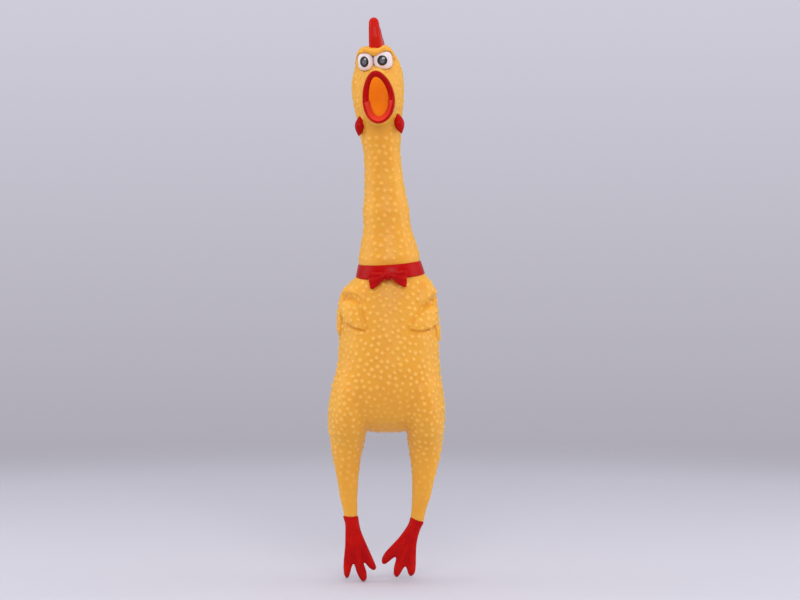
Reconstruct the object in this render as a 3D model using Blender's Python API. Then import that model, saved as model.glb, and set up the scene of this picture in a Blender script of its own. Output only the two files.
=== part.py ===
"""Rubber chicken: a hollow soft squeeze toy with a reed whistle in its throat.

Metres, +Z up, face toward -Y, lowest toe tip on z = 0. "left" and "right" are the chicken's own: left is +X.
Section tables are in millimetres: (height, centre x, half width, front y, back y), lowest section first.
"""

import math

import bmesh
import bpy
from mathutils import Matrix, Vector

MM = 0.001
NAME = "rubber_chicken"

# Pose of the toy at rest, and where each flexing place is.
SETBACK = -1.2 * MM  # puts the origin midway between the beak's tip and the back of the body
COLLAR_X = 2.8 * MM
COLLAR_Z = 222.0 * MM
NECK_LEAN = math.radians(3.8)
NECK_PIVOT = 28.0 * MM  # above the collar's middle
NECK_LENGTH = 61.0 * MM  # neck pivot to head pivot
HEAD_ROLL = math.radians(0.8)
HEAD_TURN = math.radians(5.5)
HIP_X = 27.5 * MM
HIP_Z = 90.0 * MM
SHANK_DROP = {1: 45.8 * MM, -1: 44.5 * MM}
ANKLE_INSET = {1: 5.4 * MM, -1: 2.6 * MM}
FOOT_TURN = {1: math.radians(21.5), -1: math.radians(10.6)}

# Fits and walls.
WALL = 1.6 * MM
GAP = 0.3 * MM
OVERRUN = 3.0 * MM
NECK_BALL = 16.6 * MM
HEAD_BALL = 12.9 * MM
HIP_BALL = 9.6 * MM
ANKLE_BALL = 4.2 * MM
ANKLE_RIM = (1.1, 5.1)  # the shank's lower edge: height over the ankle's axis and radius, in millimetres

TORSO = [
    (107.3, 0.6, 13.0, -11.0, 13.0),
    (109.0, 0.6, 19.5, -17.0, 19.0),
    (113.0, 0.6, 26.0, -23.5, 24.0),
    (120.0, 0.5, 31.0, -27.5, 27.0),
    (130.0, 0.5, 34.0, -29.8, 28.4),
    (145.0, 0.9, 35.0, -30.6, 28.6),
    (160.0, 1.2, 34.9, -30.0, 28.2),
    (175.0, 1.4, 34.6, -29.0, 27.4),
    (190.0, 1.4, 34.4, -27.2, 26.4),
    (200.0, 1.6, 33.6, -25.6, 25.4),
    (206.0, 1.9, 32.2, -24.6, 24.6),
    (211.0, 2.4, 29.4, -23.4, 23.8),
    (214.5, 2.6, 26.8, -22.4, 23.0),
    (216.6, 2.9, 25.0, -22.0, 22.6),
    (216.9, 2.9, 20.4, -20.4, 20.4),
    (226.0, 2.5, 20.2, -20.2, 20.2),
]
SLOPE_FROM = 195.0 * MM
SLOPE_FULL = 216.0 * MM

THIGH = [
    (94.4, 27.5, 11.2, -12.0, 12.0),
    (100.0, 27.6, 12.0, -16.0, 15.0),
    (106.0, 27.6, 12.9, -20.0, 17.6),
    (115.0, 27.2, 14.1, -24.4, 20.0),
    (125.0, 26.3, 15.0, -26.6, 21.2),
    (140.0, 25.0, 15.2, -26.4, 20.6),
    (155.0, 23.0, 14.4, -21.0, 17.0),
    (170.0, 20.0, 12.0, -13.0, 12.0),
]

TAIL_HALF = (5.5 * MM, 8.5 * MM, 7.0 * MM)
TAIL_AT = Vector((0.6, 25.4, 126.0)) * MM

NECK_BASE_OUTER = [
    (-2.0, 0, 18.4, -18.4, 18.4),
    (4.9, 0, 18.4, -18.4, 18.4),
    (4.9, 0, 21.7, -21.7, 21.7),
    (9.0, 0, 21.6, -21.6, 21.6),
    (14.6, 0, 20.2, -20.2, 20.2),
    (19.5, 0, 18.8, -18.8, 18.8),
]
NECK_BASE_INNER = [
    (-2.0, 0, 16.8, -16.8, 16.8),
    (9.0, 0, 16.8, -16.8, 16.8),
    (19.5, 0, 14.9, -14.9, 14.9),
]

NECK_STRAIGHT = [
    (4.0, 16.4),
    (15.0, 15.9),
    (23.5, 14.7),
    (32.0, 13.9),
    (40.6, 13.2),
    (49.0, 12.9),
    (58.0, 12.9),
]

HEAD = [
    (5.6, 0, 13.9, -13.6, 13.9),
    (9.0, 0, 14.5, -14.5, 15.0),
    (14.0, 0, 15.6, -15.5, 16.2),
    (20.0, 0, 16.5, -16.5, 17.2),
    (28.0, 0, 17.6, -17.5, 18.2),
    (36.0, 0, 18.2, -18.0, 18.8),
    (44.0, 0, 18.2, -18.0, 18.8),
    (50.0, 0, 17.4, -17.5, 18.3),
    (56.0, 0, 16.0, -16.5, 17.2),
    (60.0, 0, 14.9, -15.4, 16.0),
    (63.5, 0, 13.5, -13.8, 14.4),
    (66.0, 0, 11.6, -11.6, 12.2),
    (68.0, 0, 8.6, -8.6, 9.0),
]

SHANK = [
    (-6.0, 9.3),
    (-12.0, 8.5),
    (-18.0, 7.7),
    (-26.0, 6.9),
    (-34.0, 6.0),
    (-40.0, 5.3),
]

# Mouth: an egg in the head's front plane, drawn round its middle, a little to the chicken's left.
MOUTH_X = 2.4 * MM
MOUTH_Z = 32.4 * MM
MOUTH_HALF = (11.3 * MM, 19.0 * MM)
MOUTH_TAPER = 0.12
LIP_WIDTH = 4.6 * MM
LIP_DEPTH = 3.0 * MM
LIP_CORNER_Y = -21.5 * MM  # how far forward the corners of the mouth sit
LIP_TIP_REACH = 9.0 * MM  # how much further the beak's tips reach
GAPE_ANGLE = math.radians(-11.5)
SNOUT_ROOT_Y = -6.0 * MM
SNOUT_ROOT_SCALE = 1.2
SNOUT_SEAT_Y = -18.0 * MM  # middle of the snout's end, pulled back inside the rim

EYE_X = 6.4 * MM
EYE_Z = 57.4 * MM
EYE_HALF = (6.4 * MM, 4.8 * MM, 6.3 * MM)
EYE_Y = -13.6 * MM
PUPIL_HALF = (3.5 * MM, 1.6 * MM, 3.7 * MM)

# The comb from the side, as (y, z) in millimetres: three lobes, the front one tallest.
COMB_OUTLINE = [
    (-8.0, 58.0),
    (-10.3, 68.0),
    (-10.6, 76.0),
    (-9.2, 83.5),
    (-6.9, 88.3),
    (-4.6, 89.3),
    (-2.6, 88.0),
    (-0.9, 83.0),
    (0.8, 78.6),
    (2.6, 77.6),
    (4.6, 81.4),
    (6.8, 83.2),
    (8.6, 81.6),
    (9.8, 77.4),
    (11.2, 74.8),
    (12.8, 75.2),
    (14.2, 72.6),
    (14.8, 66.0),
    (13.0, 58.0),
]
COMB_X = 1.2 * MM
COMB_LEAN = -0.05  # sideways for each unit of height
COMB_HALF = (5.3, 2.2)  # half width at the head, and at the tallest tooth
COMB_HEIGHTS = (67.0, 89.3)

WATTLE_HALF = (3.3 * MM, 5.0 * MM, 6.9 * MM)
WATTLE_AT = Vector((14.5, -6.6, 13.6)) * MM
WATTLE_TILT = math.radians(8)

COLLAR_LOW = -5.0 * MM
COLLAR_HIGH = 4.5 * MM
COLLAR_HALF = (24.2 * MM, 21.8 * MM)
COLLAR_BORE = 20.9 * MM
COLLAR_EDGE = (0.5, 0.4)  # how far the band swells just inside its lower and upper edges, in millimetres

BOW_Z = -3.0 * MM
BOW_Y = -28.6 * MM
KNOT_HALF = (3.0 * MM, 2.9 * MM, 4.6 * MM)
BOW_REACH = 13.4 * MM
# Each bow section: (share of the reach, droop, half height, half thickness, set back), in millimetres.
BOW = [
    (0.24, 0.0, 2.0, 1.5, 0.0),
    (0.40, 0.6, 3.2, 1.9, 0.1),
    (0.70, 2.4, 4.6, 2.3, 0.7),
    (0.90, 3.6, 5.6, 2.2, 1.4),
    (1.00, 4.0, 5.4, 1.4, 1.9),
]

BELLY_X = 1.0 * MM
BELLY_Z = 156.0 * MM
BELLY_HALF = (21.0 * MM, 33.0 * MM)
BELLY_CUT = (-60.0 * MM, -8.0 * MM)  # front and back of the cut that frees the panel

# Each wing lobe: (x, z, half length, half width, half thickness, degrees its tip swings toward the middle).
WING_LOBES = {
    1: [(31.0, 198.0, 13.5, 8.6, 3.4, 20), (28.5, 187.0, 14.0, 6.8, 3.0, 52)],
    -1: [(31.0, 196.0, 14.0, 9.0, 3.4, 12), (26.5, 189.5, 15.5, 7.2, 3.0, 32)],
}

PADDLE_EDGE = 0.9 * MM
# The foot's stalk in millimetres: its foot flattened into the paddle, and its middle, as (height, radius).
STALK = [(-9.0, 3.2), (-5.0, 4.0)]
TOE_RADIUS = 3.1 * MM
PADDLE_FRONT = -2.6 * MM
PADDLE_BACK = 2.0 * MM
# Each foot: its toes from the outer one to the inner one as (degrees, length in mm), and the notches between.
TOES = {
    1: ([(-15.5, 40.2), (-1.5, 43.2), (16.4, 39.4)], [(-9.0, 32.0), (9.5, 29.0)]),
    -1: ([(-14.6, 43.2), (0.4, 46.35), (13.6, 40.6)], [(-7.4, 34.5), (6.0, 33.8)]),
}

BARREL_LOW = 10.0 * MM
BARREL_HIGH = 46.0 * MM
BARREL_OUTER = 9.0 * MM
BARREL_INNER = 7.5 * MM
FLANGE_RADIUS = 11.0 * MM
FLANGE_THICK = 1.5 * MM
CAP_THICK = 1.6 * MM
CAP_RECESS = 0.6 * MM
CAP_HOLES = 6
CAP_HOLE_RADIUS = 1.2 * MM
CAP_HOLE_CIRCLE = 4.4 * MM
BULKHEAD_Z = 20.0 * MM
BULKHEAD_THICK = 2.4 * MM
SHALLOT_RADIUS = 3.4 * MM
SHALLOT_LENGTH = 21.0 * MM
SHALLOT_SLOT = 1.9 * MM  # radius of the trough's bore
REED_LENGTH = 19.0 * MM
REED_CLAMPED = 2.4 * MM
REED_WIDTH = 5.0 * MM
REED_THICK = 0.3 * MM
REED_REST_GAP = 0.9 * MM
WEDGE_THICK = 1.6 * MM

COLOURS = {
    "yellow_skin": (0.80, 0.42, 0.06, 1.0),
    "red_skin": (0.52, 0.012, 0.010, 1.0),
    "eye_white": (0.80, 0.72, 0.72, 1.0),
    "eye_black": (0.012, 0.012, 0.014, 1.0),
    "whistle_plastic": (0.74, 0.72, 0.66, 1.0),
    "reed_film": (0.55, 0.50, 0.40, 1.0),
}
ROUGHNESS = {"yellow_skin": 0.38, "red_skin": 0.28, "eye_white": 0.25, "eye_black": 0.08}


def clear():
    for obj in list(bpy.data.objects):
        bpy.data.objects.remove(obj, do_unlink=True)


def new_collection(name):
    collection = bpy.data.collections.new(name)
    bpy.context.scene.collection.children.link(collection)
    return collection


def material_for(node, slot):
    """Each node has its own material, coloured as its slot."""
    material = bpy.data.materials.new(node)
    material.use_nodes = True
    shader = material.node_tree.nodes["Principled BSDF"]
    shader.inputs["Base Color"].default_value = COLOURS[slot]
    shader.inputs["Roughness"].default_value = ROUGHNESS.get(slot, 0.45)
    return material


def add_frame(name, matrix):
    """An empty on a body's joint axis, which carries that body's pieces."""
    empty = bpy.data.objects.new(name, None)
    empty.empty_display_size = 0.01
    PARTS.objects.link(empty)
    empty.matrix_world = matrix
    return empty


def add_part(name, bm, frame, slot):
    obj = add_mesh(name, bm, frame, PARTS)
    obj.data.materials.append(material_for(name, slot))
    return obj


def add_cutter(name, bm, frame):
    obj = add_mesh(name, bm, frame, CUTTERS)
    obj.hide_render = True
    obj.display_type = "WIRE"
    return obj


def add_mesh(name, bm, frame, collection):
    mesh = bpy.data.meshes.new(name)
    bm.to_mesh(mesh)
    bm.free()
    obj = bpy.data.objects.new(name, mesh)
    collection.objects.link(obj)
    obj.parent = frame
    return obj


def combine(obj, cutter, operation):
    modifier = obj.modifiers.new(operation.lower(), "BOOLEAN")
    modifier.operation = operation
    modifier.object = cutter
    modifier.solver = "EXACT"


def round_sections(pairs):
    """Round sections in millimetres from (height, radius) pairs."""
    return [(height, 0.0, radius, -radius, radius) for height, radius in pairs]


def ball_pairs(radius, heights, centre=0.0):
    """(height, radius) pairs in millimetres on a ball whose radius is in metres."""
    size = radius / MM
    return [(centre + height, math.sqrt(size * size - height * height)) for height in heights]


def section_ring(section, count, slope):
    """One elliptical ring of points, in metres."""
    height, centre, half, front, back = [value * MM for value in section]
    middle = (front + back) / 2
    depth = (back - front) / 2
    ring = []
    for step in range(count):
        angle = math.tau * step / count
        x = half * math.cos(angle)
        z = height + x * slope(height)
        ring.append(Vector((centre + x, middle + depth * math.sin(angle), z)))
    return ring


def level(height):
    return 0.0


def shoulder_slope(height):
    """The body's sections tilt gradually to match the leaning collar."""
    share = (height - SLOPE_FROM) / (SLOPE_FULL - SLOPE_FROM)
    share = min(max(share, 0.0), 1.0)
    return math.tan(NECK_LEAN) * share * share * (3 - 2 * share)


def grown(sections, grow):
    """The same sections moved outward by grow metres, and stretched along their height to match."""
    amount = grow / MM
    low = sections[0][0]
    high = sections[-1][0]
    middle = (low + high) / 2
    stretch = 1 + 2 * amount / (high - low)
    result = []
    for height, centre, half, front, back in sections:
        height = middle + (height - middle) * stretch
        result.append((height, centre, half + amount, front - amount, back + amount))
    return result


def through(sections, low=None, high=None):
    """The sections run straight on past one end, so that a cut breaks through there."""
    result = list(sections)
    if low is not None:
        result = [(low - OVERRUN / MM,) + sections[0][1:]] + result
    if high is not None:
        result.append((high + OVERRUN / MM,) + sections[-1][1:])
    return result


def mirrored(sections):
    return [(height, -centre, half, front, back) for height, centre, half, front, back in sections]


def skin_rings(rings, closed=False, seat=None):
    """Faces through a run of rings: capped at both ends, or joined end to end when closed."""
    bm = bmesh.new()
    loops = [[bm.verts.new(point) for point in ring] for ring in rings]
    count = len(loops[0])
    pairs = list(zip(loops, loops[1:]))
    if closed:
        pairs.append((loops[-1], loops[0]))
    for low, high in pairs:
        for step in range(count):
            after = (step + 1) % count
            bm.faces.new((low[step], low[after], high[after], high[step]))
    if not closed:
        cap(bm, loops[0][::-1], None)
        cap(bm, loops[-1], seat)
    bm.normal_update()
    if bm.calc_volume(signed=True) < 0:
        bmesh.ops.reverse_faces(bm, faces=bm.faces)
    return bm


def cap(bm, loop, seat):
    """A fan that closes a ring on its middle, or on the seat point."""
    centre = sum((vert.co for vert in loop), Vector()) / len(loop)
    middle = bm.verts.new(seat or centre)
    for step in range(len(loop)):
        bm.faces.new((loop[step], loop[(step + 1) % len(loop)], middle))


def loft(sections, count=32, slope=level):
    return skin_rings([section_ring(section, count, slope) for section in sections])


def tube(outer, inner, count=32):
    """An open-ended pipe between outer and inner sections."""
    sections = list(outer) + list(reversed(inner))
    return skin_rings([section_ring(section, count, level) for section in sections], closed=True)


def ellipsoid(half, centre, turn=Matrix(), count=20):
    bm = bmesh.new()
    bmesh.ops.create_uvsphere(bm, u_segments=count, v_segments=count // 2, radius=1.0)
    size = Matrix.Diagonal((half[0], half[1], half[2], 1.0))
    bmesh.ops.transform(bm, matrix=Matrix.Translation(centre) @ turn @ size, verts=bm.verts)
    return bm


def block(low, high):
    bm = bmesh.new()
    bmesh.ops.create_cube(bm, size=1.0)
    size = Matrix.Diagonal((high[0] - low[0], high[1] - low[1], high[2] - low[2], 1.0))
    middle = Matrix.Translation((Vector(low) + Vector(high)) / 2)
    bmesh.ops.transform(bm, matrix=middle @ size, verts=bm.verts)
    return bm


def oval_prism(half, centre, near, far, count=40):
    """An upright oval pushed along Y from near to far."""
    rings = []
    for y in (near, far):
        ring = []
        for step in range(count):
            angle = math.tau * step / count
            x = centre[0] + half[0] * math.cos(angle)
            z = centre[1] + half[1] * math.sin(angle)
            ring.append(Vector((x, y, z)))
        rings.append(ring)
    return skin_rings(rings)


def side_name(side):
    return "left" if side > 0 else "right"


# ---- body ----


def torso_solids(obj, tag):
    """Joins the thighs to the body's outline and hollows the result, open at the neck and both legs."""
    thighs = {1: THIGH, -1: mirrored(THIGH)}
    for side, sections in thighs.items():
        outer = add_cutter(f"{tag}_thigh_outer_{side_name(side)}", loft(sections), ROOT)
        combine(obj, outer, "UNION")
    tail = add_cutter(f"{tag}_tail_outer", ellipsoid(TAIL_HALF, TAIL_AT, count=16), ROOT)
    combine(obj, tail, "UNION")
    hollow = through(grown(TORSO, -WALL), high=TORSO[-1][0])
    combine(obj, add_cutter(f"{tag}_hollow", loft(hollow, 40, shoulder_slope), ROOT), "DIFFERENCE")
    for side, sections in thighs.items():
        inner = through(grown(sections, -WALL), low=sections[0][0])
        cutter = add_cutter(f"{tag}_thigh_hollow_{side_name(side)}", loft(inner), ROOT)
        combine(obj, cutter, "DIFFERENCE")


def make_torso():
    skin = add_part("torso_skin", loft(TORSO, 40, shoulder_slope), ROOT, "yellow_skin")
    torso_solids(skin, "body")
    half = (BELLY_HALF[0] + GAP, BELLY_HALF[1] + GAP)
    window = oval_prism(half, (BELLY_X, BELLY_Z), *BELLY_CUT)
    combine(skin, add_cutter("belly_window", window, ROOT), "DIFFERENCE")


def make_belly():
    panel = add_part("belly_panel", loft(TORSO, 40, shoulder_slope), BELLY, "yellow_skin")
    torso_solids(panel, "belly")
    near, far = BELLY_CUT
    patch = oval_prism(BELLY_HALF, (BELLY_X, BELLY_Z), near - MM, far - MM)
    combine(panel, add_cutter("belly_patch", patch, ROOT), "INTERSECT")


def torso_front(x, z):
    """(y, outward direction) on the front of the body at a place given in millimetres."""
    low = max(section for section in TORSO if section[0] <= z)
    high = min(section for section in TORSO if section[0] > z)
    share = (z - low[0]) / (high[0] - low[0])
    centre, half, front, back = [a + (b - a) * share for a, b in zip(low[1:], high[1:])]
    depth = (back - front) / 2
    across = min(max((x - centre) / half, -0.98), 0.98)
    y = (front + back) / 2 - depth * math.sqrt(1 - across * across)
    outward = Vector((across / half, -math.sqrt(1 - across * across) / depth, 0)).normalized()
    return y, outward


def make_wing(side):
    """Overlapping feather lobes lying on the shoulder, trimmed to the body's surface."""
    name = side_name(side)
    lobes = []
    for x, z, length, width, thick, swing in WING_LOBES[side]:
        y, outward = torso_front(side * x, z)
        face = outward.to_track_quat("-Y", "Z").to_matrix().to_4x4()
        turn = face @ Matrix.Rotation(side * math.radians(swing), 4, "Y")
        half = (width * MM, thick * MM, length * MM)
        lobes.append(ellipsoid(half, Vector((side * x, y, z)) * MM, turn, 24))
    wing = add_part(f"{name}_wing", lobes[0], ROOT, "yellow_skin")
    combine(wing, add_cutter(f"{name}_wing_feather", lobes[1], ROOT), "UNION")
    body = add_cutter(f"{name}_wing_trim", loft(grown(TORSO, GAP), 40, shoulder_slope), ROOT)
    combine(wing, body, "DIFFERENCE")


def make_collar():
    low, high = COLLAR_LOW / MM, COLLAR_HIGH / MM
    wide, narrow = COLLAR_HALF[0] / MM, COLLAR_HALF[1] / MM
    bore = COLLAR_BORE / MM
    swell_low, swell_high = COLLAR_EDGE
    outer = round_sections(
        [(low, wide), (low + 1, wide + swell_low), (high - 1, narrow + swell_high), (high, narrow)]
    )
    inner = round_sections([(low, bore), (high, bore)])
    add_part("collar_band", tube(outer, inner, 48), COLLAR, "red_skin")


def make_bow():
    knot = ellipsoid(KNOT_HALF, Vector((0, BOW_Y, BOW_Z)), count=16)
    add_part("bow_knot", knot, COLLAR, "red_skin")
    for side in (1, -1):
        rings = []
        for share, droop, height, thick, back in BOW:
            ring = []
            for step in range(16):
                angle = math.tau * step / 16
                y = BOW_Y + (back + thick * math.cos(angle)) * MM
                z = BOW_Z + (height * math.sin(angle) - droop) * MM
                ring.append(Vector((side * share * BOW_REACH, y, z)))
            rings.append(ring)
        loop = add_part(f"{side_name(side)}_bow_loop", skin_rings(rings), COLLAR, "red_skin")
        room = tuple(value + GAP for value in KNOT_HALF)
        trim = ellipsoid(room, Vector((0, BOW_Y, BOW_Z)), count=16)
        combine(loop, add_cutter(f"{side_name(side)}_bow_trim", trim, COLLAR), "DIFFERENCE")


# ---- neck ----


def make_neck_base():
    add_part("neck_base", tube(NECK_BASE_OUTER, NECK_BASE_INNER, 40), COLLAR, "yellow_skin")


def neck_sections():
    low = ball_pairs(NECK_BALL, (-11.0, -8.0, -4.0, 0.0))
    high = ball_pairs(HEAD_BALL, (0.0, 3.5, 7.0, 9.0), NECK_LENGTH / MM)
    return round_sections(low + NECK_STRAIGHT + high)


def make_neck_skin():
    outer = neck_sections()
    wall = WALL / MM
    inner = [(z, x, half - wall, front + wall, back - wall) for z, x, half, front, back in outer]
    add_part("neck_skin", tube(outer, inner, 36), NECK, "yellow_skin")


# ---- whistle ----


def make_whistle():
    low, high = BARREL_LOW / MM, BARREL_HIGH / MM
    wide, bore = BARREL_OUTER / MM, BARREL_INNER / MM
    flange = high - FLANGE_THICK / MM
    rim = FLANGE_RADIUS / MM
    outer = round_sections([(low, wide), (flange, wide), (flange, rim), (high, rim)])
    inner = round_sections([(low, bore), (high, bore)])
    add_part("whistle_barrel", tube(outer, inner), NECK, "whistle_plastic")
    make_cap(bore - GAP / MM, high)
    make_reed_seat(bore - GAP / MM)


def disc(radius, low, high, count=32):
    return loft(round_sections([(low, radius), (high, radius)]), count)


def make_cap(radius, high):
    top = high - CAP_RECESS / MM
    plate = disc(radius, top - CAP_THICK / MM, top)
    cap_disc = add_part("whistle_cap", plate, NECK, "whistle_plastic")
    for step in range(CAP_HOLES):
        angle = math.tau * step / CAP_HOLES
        centre = Vector((math.cos(angle), math.sin(angle), 0)) * CAP_HOLE_CIRCLE
        hole = disc(CAP_HOLE_RADIUS / MM, top - 4, top + 2, 12)
        bmesh.ops.translate(hole, vec=centre, verts=hole.verts)
        combine(cap_disc, add_cutter(f"cap_hole_{step}", hole, NECK), "DIFFERENCE")


def make_reed_seat(radius):
    """A disc across the barrel, the trough the reed beats on, the reed and the wedge over its root."""
    low = BULKHEAD_Z / MM
    high = (BULKHEAD_Z + BULKHEAD_THICK) / MM
    bulkhead = add_part("reed_bulkhead", disc(radius, low, high), NECK, "whistle_plastic")
    opening = disc(SHALLOT_RADIUS / MM + GAP / MM, low - 2, high + 2, 24)
    combine(bulkhead, add_cutter("bulkhead_opening", opening, NECK), "DIFFERENCE")
    base = BULKHEAD_Z - 1.0 * MM
    trough = half_pipe(SHALLOT_RADIUS, SHALLOT_SLOT, base, base + SHALLOT_LENGTH)
    add_part("reed_shallot", trough, NECK, "whistle_plastic")
    make_reed()


def half_pipe(outer, inner, low, high, count=16):
    """Half of an upright pipe, open toward -Y."""
    rings = []
    for step in range(count + 1):
        angle = math.pi * step / count
        across = Vector((math.cos(angle), math.sin(angle), 0))
        up = Vector((0, 0, 1))
        corners = [(outer, low), (outer, high), (inner, high), (inner, low)]
        rings.append([across * radius + up * height for radius, height in corners])
    return skin_rings(rings)


def make_reed():
    half = REED_WIDTH / 2
    near = -REED_REST_GAP - REED_THICK
    far = -REED_REST_GAP
    reed = block((-half, near - far, -REED_CLAMPED), (half, 0, REED_LENGTH - REED_CLAMPED))
    add_part("reed_tongue", reed, REED, "reed_film")
    root = BULKHEAD_Z + BULKHEAD_THICK + 0.4 * MM
    top = root + REED_CLAMPED + 0.6 * MM
    face = near - GAP
    wedge = block((-half, face - WEDGE_THICK, root), (half, face, top))
    add_part("reed_wedge", wedge, NECK, "whistle_plastic")


# ---- head ----


def mouth_point(angle, width, height, y):
    """A point of the mouth's egg outline; angle 0 is the chicken's left corner and grows upward."""
    x = width * math.cos(angle) * (1 - MOUTH_TAPER * math.sin(angle))
    return Vector((MOUTH_X + x, y, MOUTH_Z + height * math.sin(angle)))


def lip_front(angle):
    """The beak's rim is a saddle: the corners sit back and the two tips reach forward."""
    return LIP_CORNER_Y - LIP_TIP_REACH * math.sin(angle) ** 2


def snout_ring(share, inset, count=40):
    """A ring round the snout: share 0 at its root inside the head, 1 just behind the lips."""
    scale = SNOUT_ROOT_SCALE + (1 - SNOUT_ROOT_SCALE) * share
    ring = []
    for step in range(count):
        angle = -math.tau * step / count
        front = lip_front(angle) + LIP_DEPTH + GAP
        y = SNOUT_ROOT_Y + (front - SNOUT_ROOT_Y) * share
        width = MOUTH_HALF[0] * scale - inset
        ring.append(mouth_point(angle, width, MOUTH_HALF[1] * scale - inset, y))
    return ring


def make_head():
    skin = add_part("head_skin", loft(HEAD, 36), HEAD_FRAME, "yellow_skin")
    seat = Vector((MOUTH_X, SNOUT_SEAT_Y + LIP_DEPTH, MOUTH_Z))
    snout = skin_rings([snout_ring(share, 0.0) for share in (0.0, 0.5, 1.0)], seat=seat)
    combine(skin, add_cutter("snout_outer", snout, HEAD_FRAME), "UNION")
    hollow = through(grown(HEAD, -WALL), low=HEAD[0][0])
    combine(skin, add_cutter("head_hollow", loft(hollow, 36), HEAD_FRAME), "DIFFERENCE")
    passage = skin_rings([snout_ring(share, WALL) for share in (0.0, 1.5)])
    combine(skin, add_cutter("mouth_passage", passage, HEAD_FRAME), "DIFFERENCE")


def make_lip(name, start, end, count):
    """A length of the beak's rim, four-sided in section, following the mouth's outline."""
    rings = []
    for step in range(count + 1):
        angle = start + (end - start) * step / count
        front = lip_front(angle)
        narrow = (MOUTH_HALF[0] - LIP_WIDTH, MOUTH_HALF[1] - LIP_WIDTH)
        edge = 0.8 * MM
        ring = [
            mouth_point(angle, MOUTH_HALF[0], MOUTH_HALF[1], front + LIP_DEPTH),
            mouth_point(angle, MOUTH_HALF[0], MOUTH_HALF[1], front + edge),
            mouth_point(angle, MOUTH_HALF[0] - edge, MOUTH_HALF[1] - edge, front),
            mouth_point(angle, narrow[0] + edge, narrow[1] + edge, front),
            mouth_point(angle, narrow[0], narrow[1], front + edge),
            mouth_point(angle, narrow[0], narrow[1], front + LIP_DEPTH),
        ]
        rings.append(ring)
    add_part(name, skin_rings(rings), HEAD_FRAME, "red_skin")


def make_lips():
    clear_angle = math.radians(1.2)
    half_turn = math.pi - GAPE_ANGLE
    make_lip("upper_beak_lip", GAPE_ANGLE + clear_angle, half_turn - clear_angle, 28)
    make_lip("lower_beak_lip", half_turn + clear_angle, math.tau + GAPE_ANGLE - clear_angle, 22)


def head_trim(name):
    return add_cutter(name, loft(grown(HEAD, GAP), 36), HEAD_FRAME)


def make_eye(side):
    """A domed white on the head with a glossy pupil, each trimmed clear of what it sits on."""
    name = side_name(side)
    centre = Vector((side * EYE_X, EYE_Y, EYE_Z))
    white = add_part(f"{name}_eye_white", ellipsoid(EYE_HALF, centre), HEAD_FRAME, "eye_white")
    combine(white, head_trim(f"{name}_eye_trim"), "DIFFERENCE")
    middle = block((-GAP / 2, -0.03, 0.04), (GAP / 2, 0, 0.08))
    combine(white, add_cutter(f"{name}_eye_part", middle, HEAD_FRAME), "DIFFERENCE")
    front = centre + Vector((0, -EYE_HALF[1], 0))
    pupil = add_part(f"{name}_pupil", ellipsoid(PUPIL_HALF, front), HEAD_FRAME, "eye_black")
    room = tuple(value + GAP for value in EYE_HALF)
    bed = add_cutter(f"{name}_pupil_trim", ellipsoid(room, centre, count=32), HEAD_FRAME)
    combine(pupil, bed, "DIFFERENCE")


def make_comb():
    """A toothed fin along the top of the head, thinner toward its tips."""
    bm = bmesh.new()
    walls = []
    for side in (1, -1):
        wall = []
        for y, z in COMB_OUTLINE:
            share = (z - COMB_HEIGHTS[0]) / (COMB_HEIGHTS[1] - COMB_HEIGHTS[0])
            share = min(max(share, 0.0), 1.0)
            half = COMB_HALF[0] + (COMB_HALF[1] - COMB_HALF[0]) * share
            middle = COMB_X / MM + COMB_LEAN * (z - COMB_HEIGHTS[0])
            wall.append(bm.verts.new(Vector((middle + side * half, y, z)) * MM))
        walls.append(wall)
    count = len(COMB_OUTLINE)
    bm.faces.new(walls[0][::-1])
    bm.faces.new(walls[1])
    for step in range(count):
        after = (step + 1) % count
        bm.faces.new((walls[0][step], walls[0][after], walls[1][after], walls[1][step]))
    bmesh.ops.triangulate(bm, faces=bm.faces[:])
    if bm.calc_volume(signed=True) < 0:
        bmesh.ops.reverse_faces(bm, faces=bm.faces)
    comb = add_part("comb", bm, HEAD_FRAME, "red_skin")
    combine(comb, head_trim("comb_trim"), "DIFFERENCE")


def make_wattle(side):
    name = side_name(side)
    centre = Vector((side * WATTLE_AT.x, WATTLE_AT.y, WATTLE_AT.z))
    turn = Matrix.Rotation(side * WATTLE_TILT, 4, "Y")
    lobe = ellipsoid(WATTLE_HALF, centre, turn)
    wattle = add_part(f"{name}_wattle", lobe, HEAD_FRAME, "red_skin")
    combine(wattle, head_trim(f"{name}_wattle_trim"), "DIFFERENCE")


# ---- legs ----


def shank_centre(side, height):
    """How far the shank's middle has curved inward at a height below the hip pivot, in millimetres."""
    share = height * MM / -SHANK_DROP[side]
    share = max(share, 0.0)
    return -side * ANKLE_INSET[side] / MM * share * share


def make_shank(side):
    """A tapering hollow leg: a dome inside the thigh's end, a solid ankle with a cup for the foot."""
    rise, rim = ANKLE_RIM
    dome = ball_pairs(HIP_BALL, (-3.0, 0.0, 2.5, 5.0, 7.0))
    pairs = [(rise - SHANK_DROP[side] / MM, rim)] + SHANK[::-1] + dome
    outer = []
    for height, radius in pairs:
        depth = radius * 0.96
        outer.append((height, shank_centre(side, height), radius, -depth, depth))
    wall = WALL / MM
    inner = [(z, x, half - wall, y0 + wall, y1 - wall) for z, x, half, y0, y1 in outer[3:]]
    sections = outer + inner[::-1]
    rings = [section_ring(section, 24, level) for section in sections]
    name = side_name(side)
    shank = add_part(f"{name}_leg_skin", skin_rings(rings), LEG[side], "yellow_skin")
    room = ANKLE_BALL + GAP
    cup = add_cutter(f"{name}_ankle_cup", ellipsoid((room, room, room), Vector(), count=24), FOOT[side])
    combine(shank, cup, "DIFFERENCE")


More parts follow.
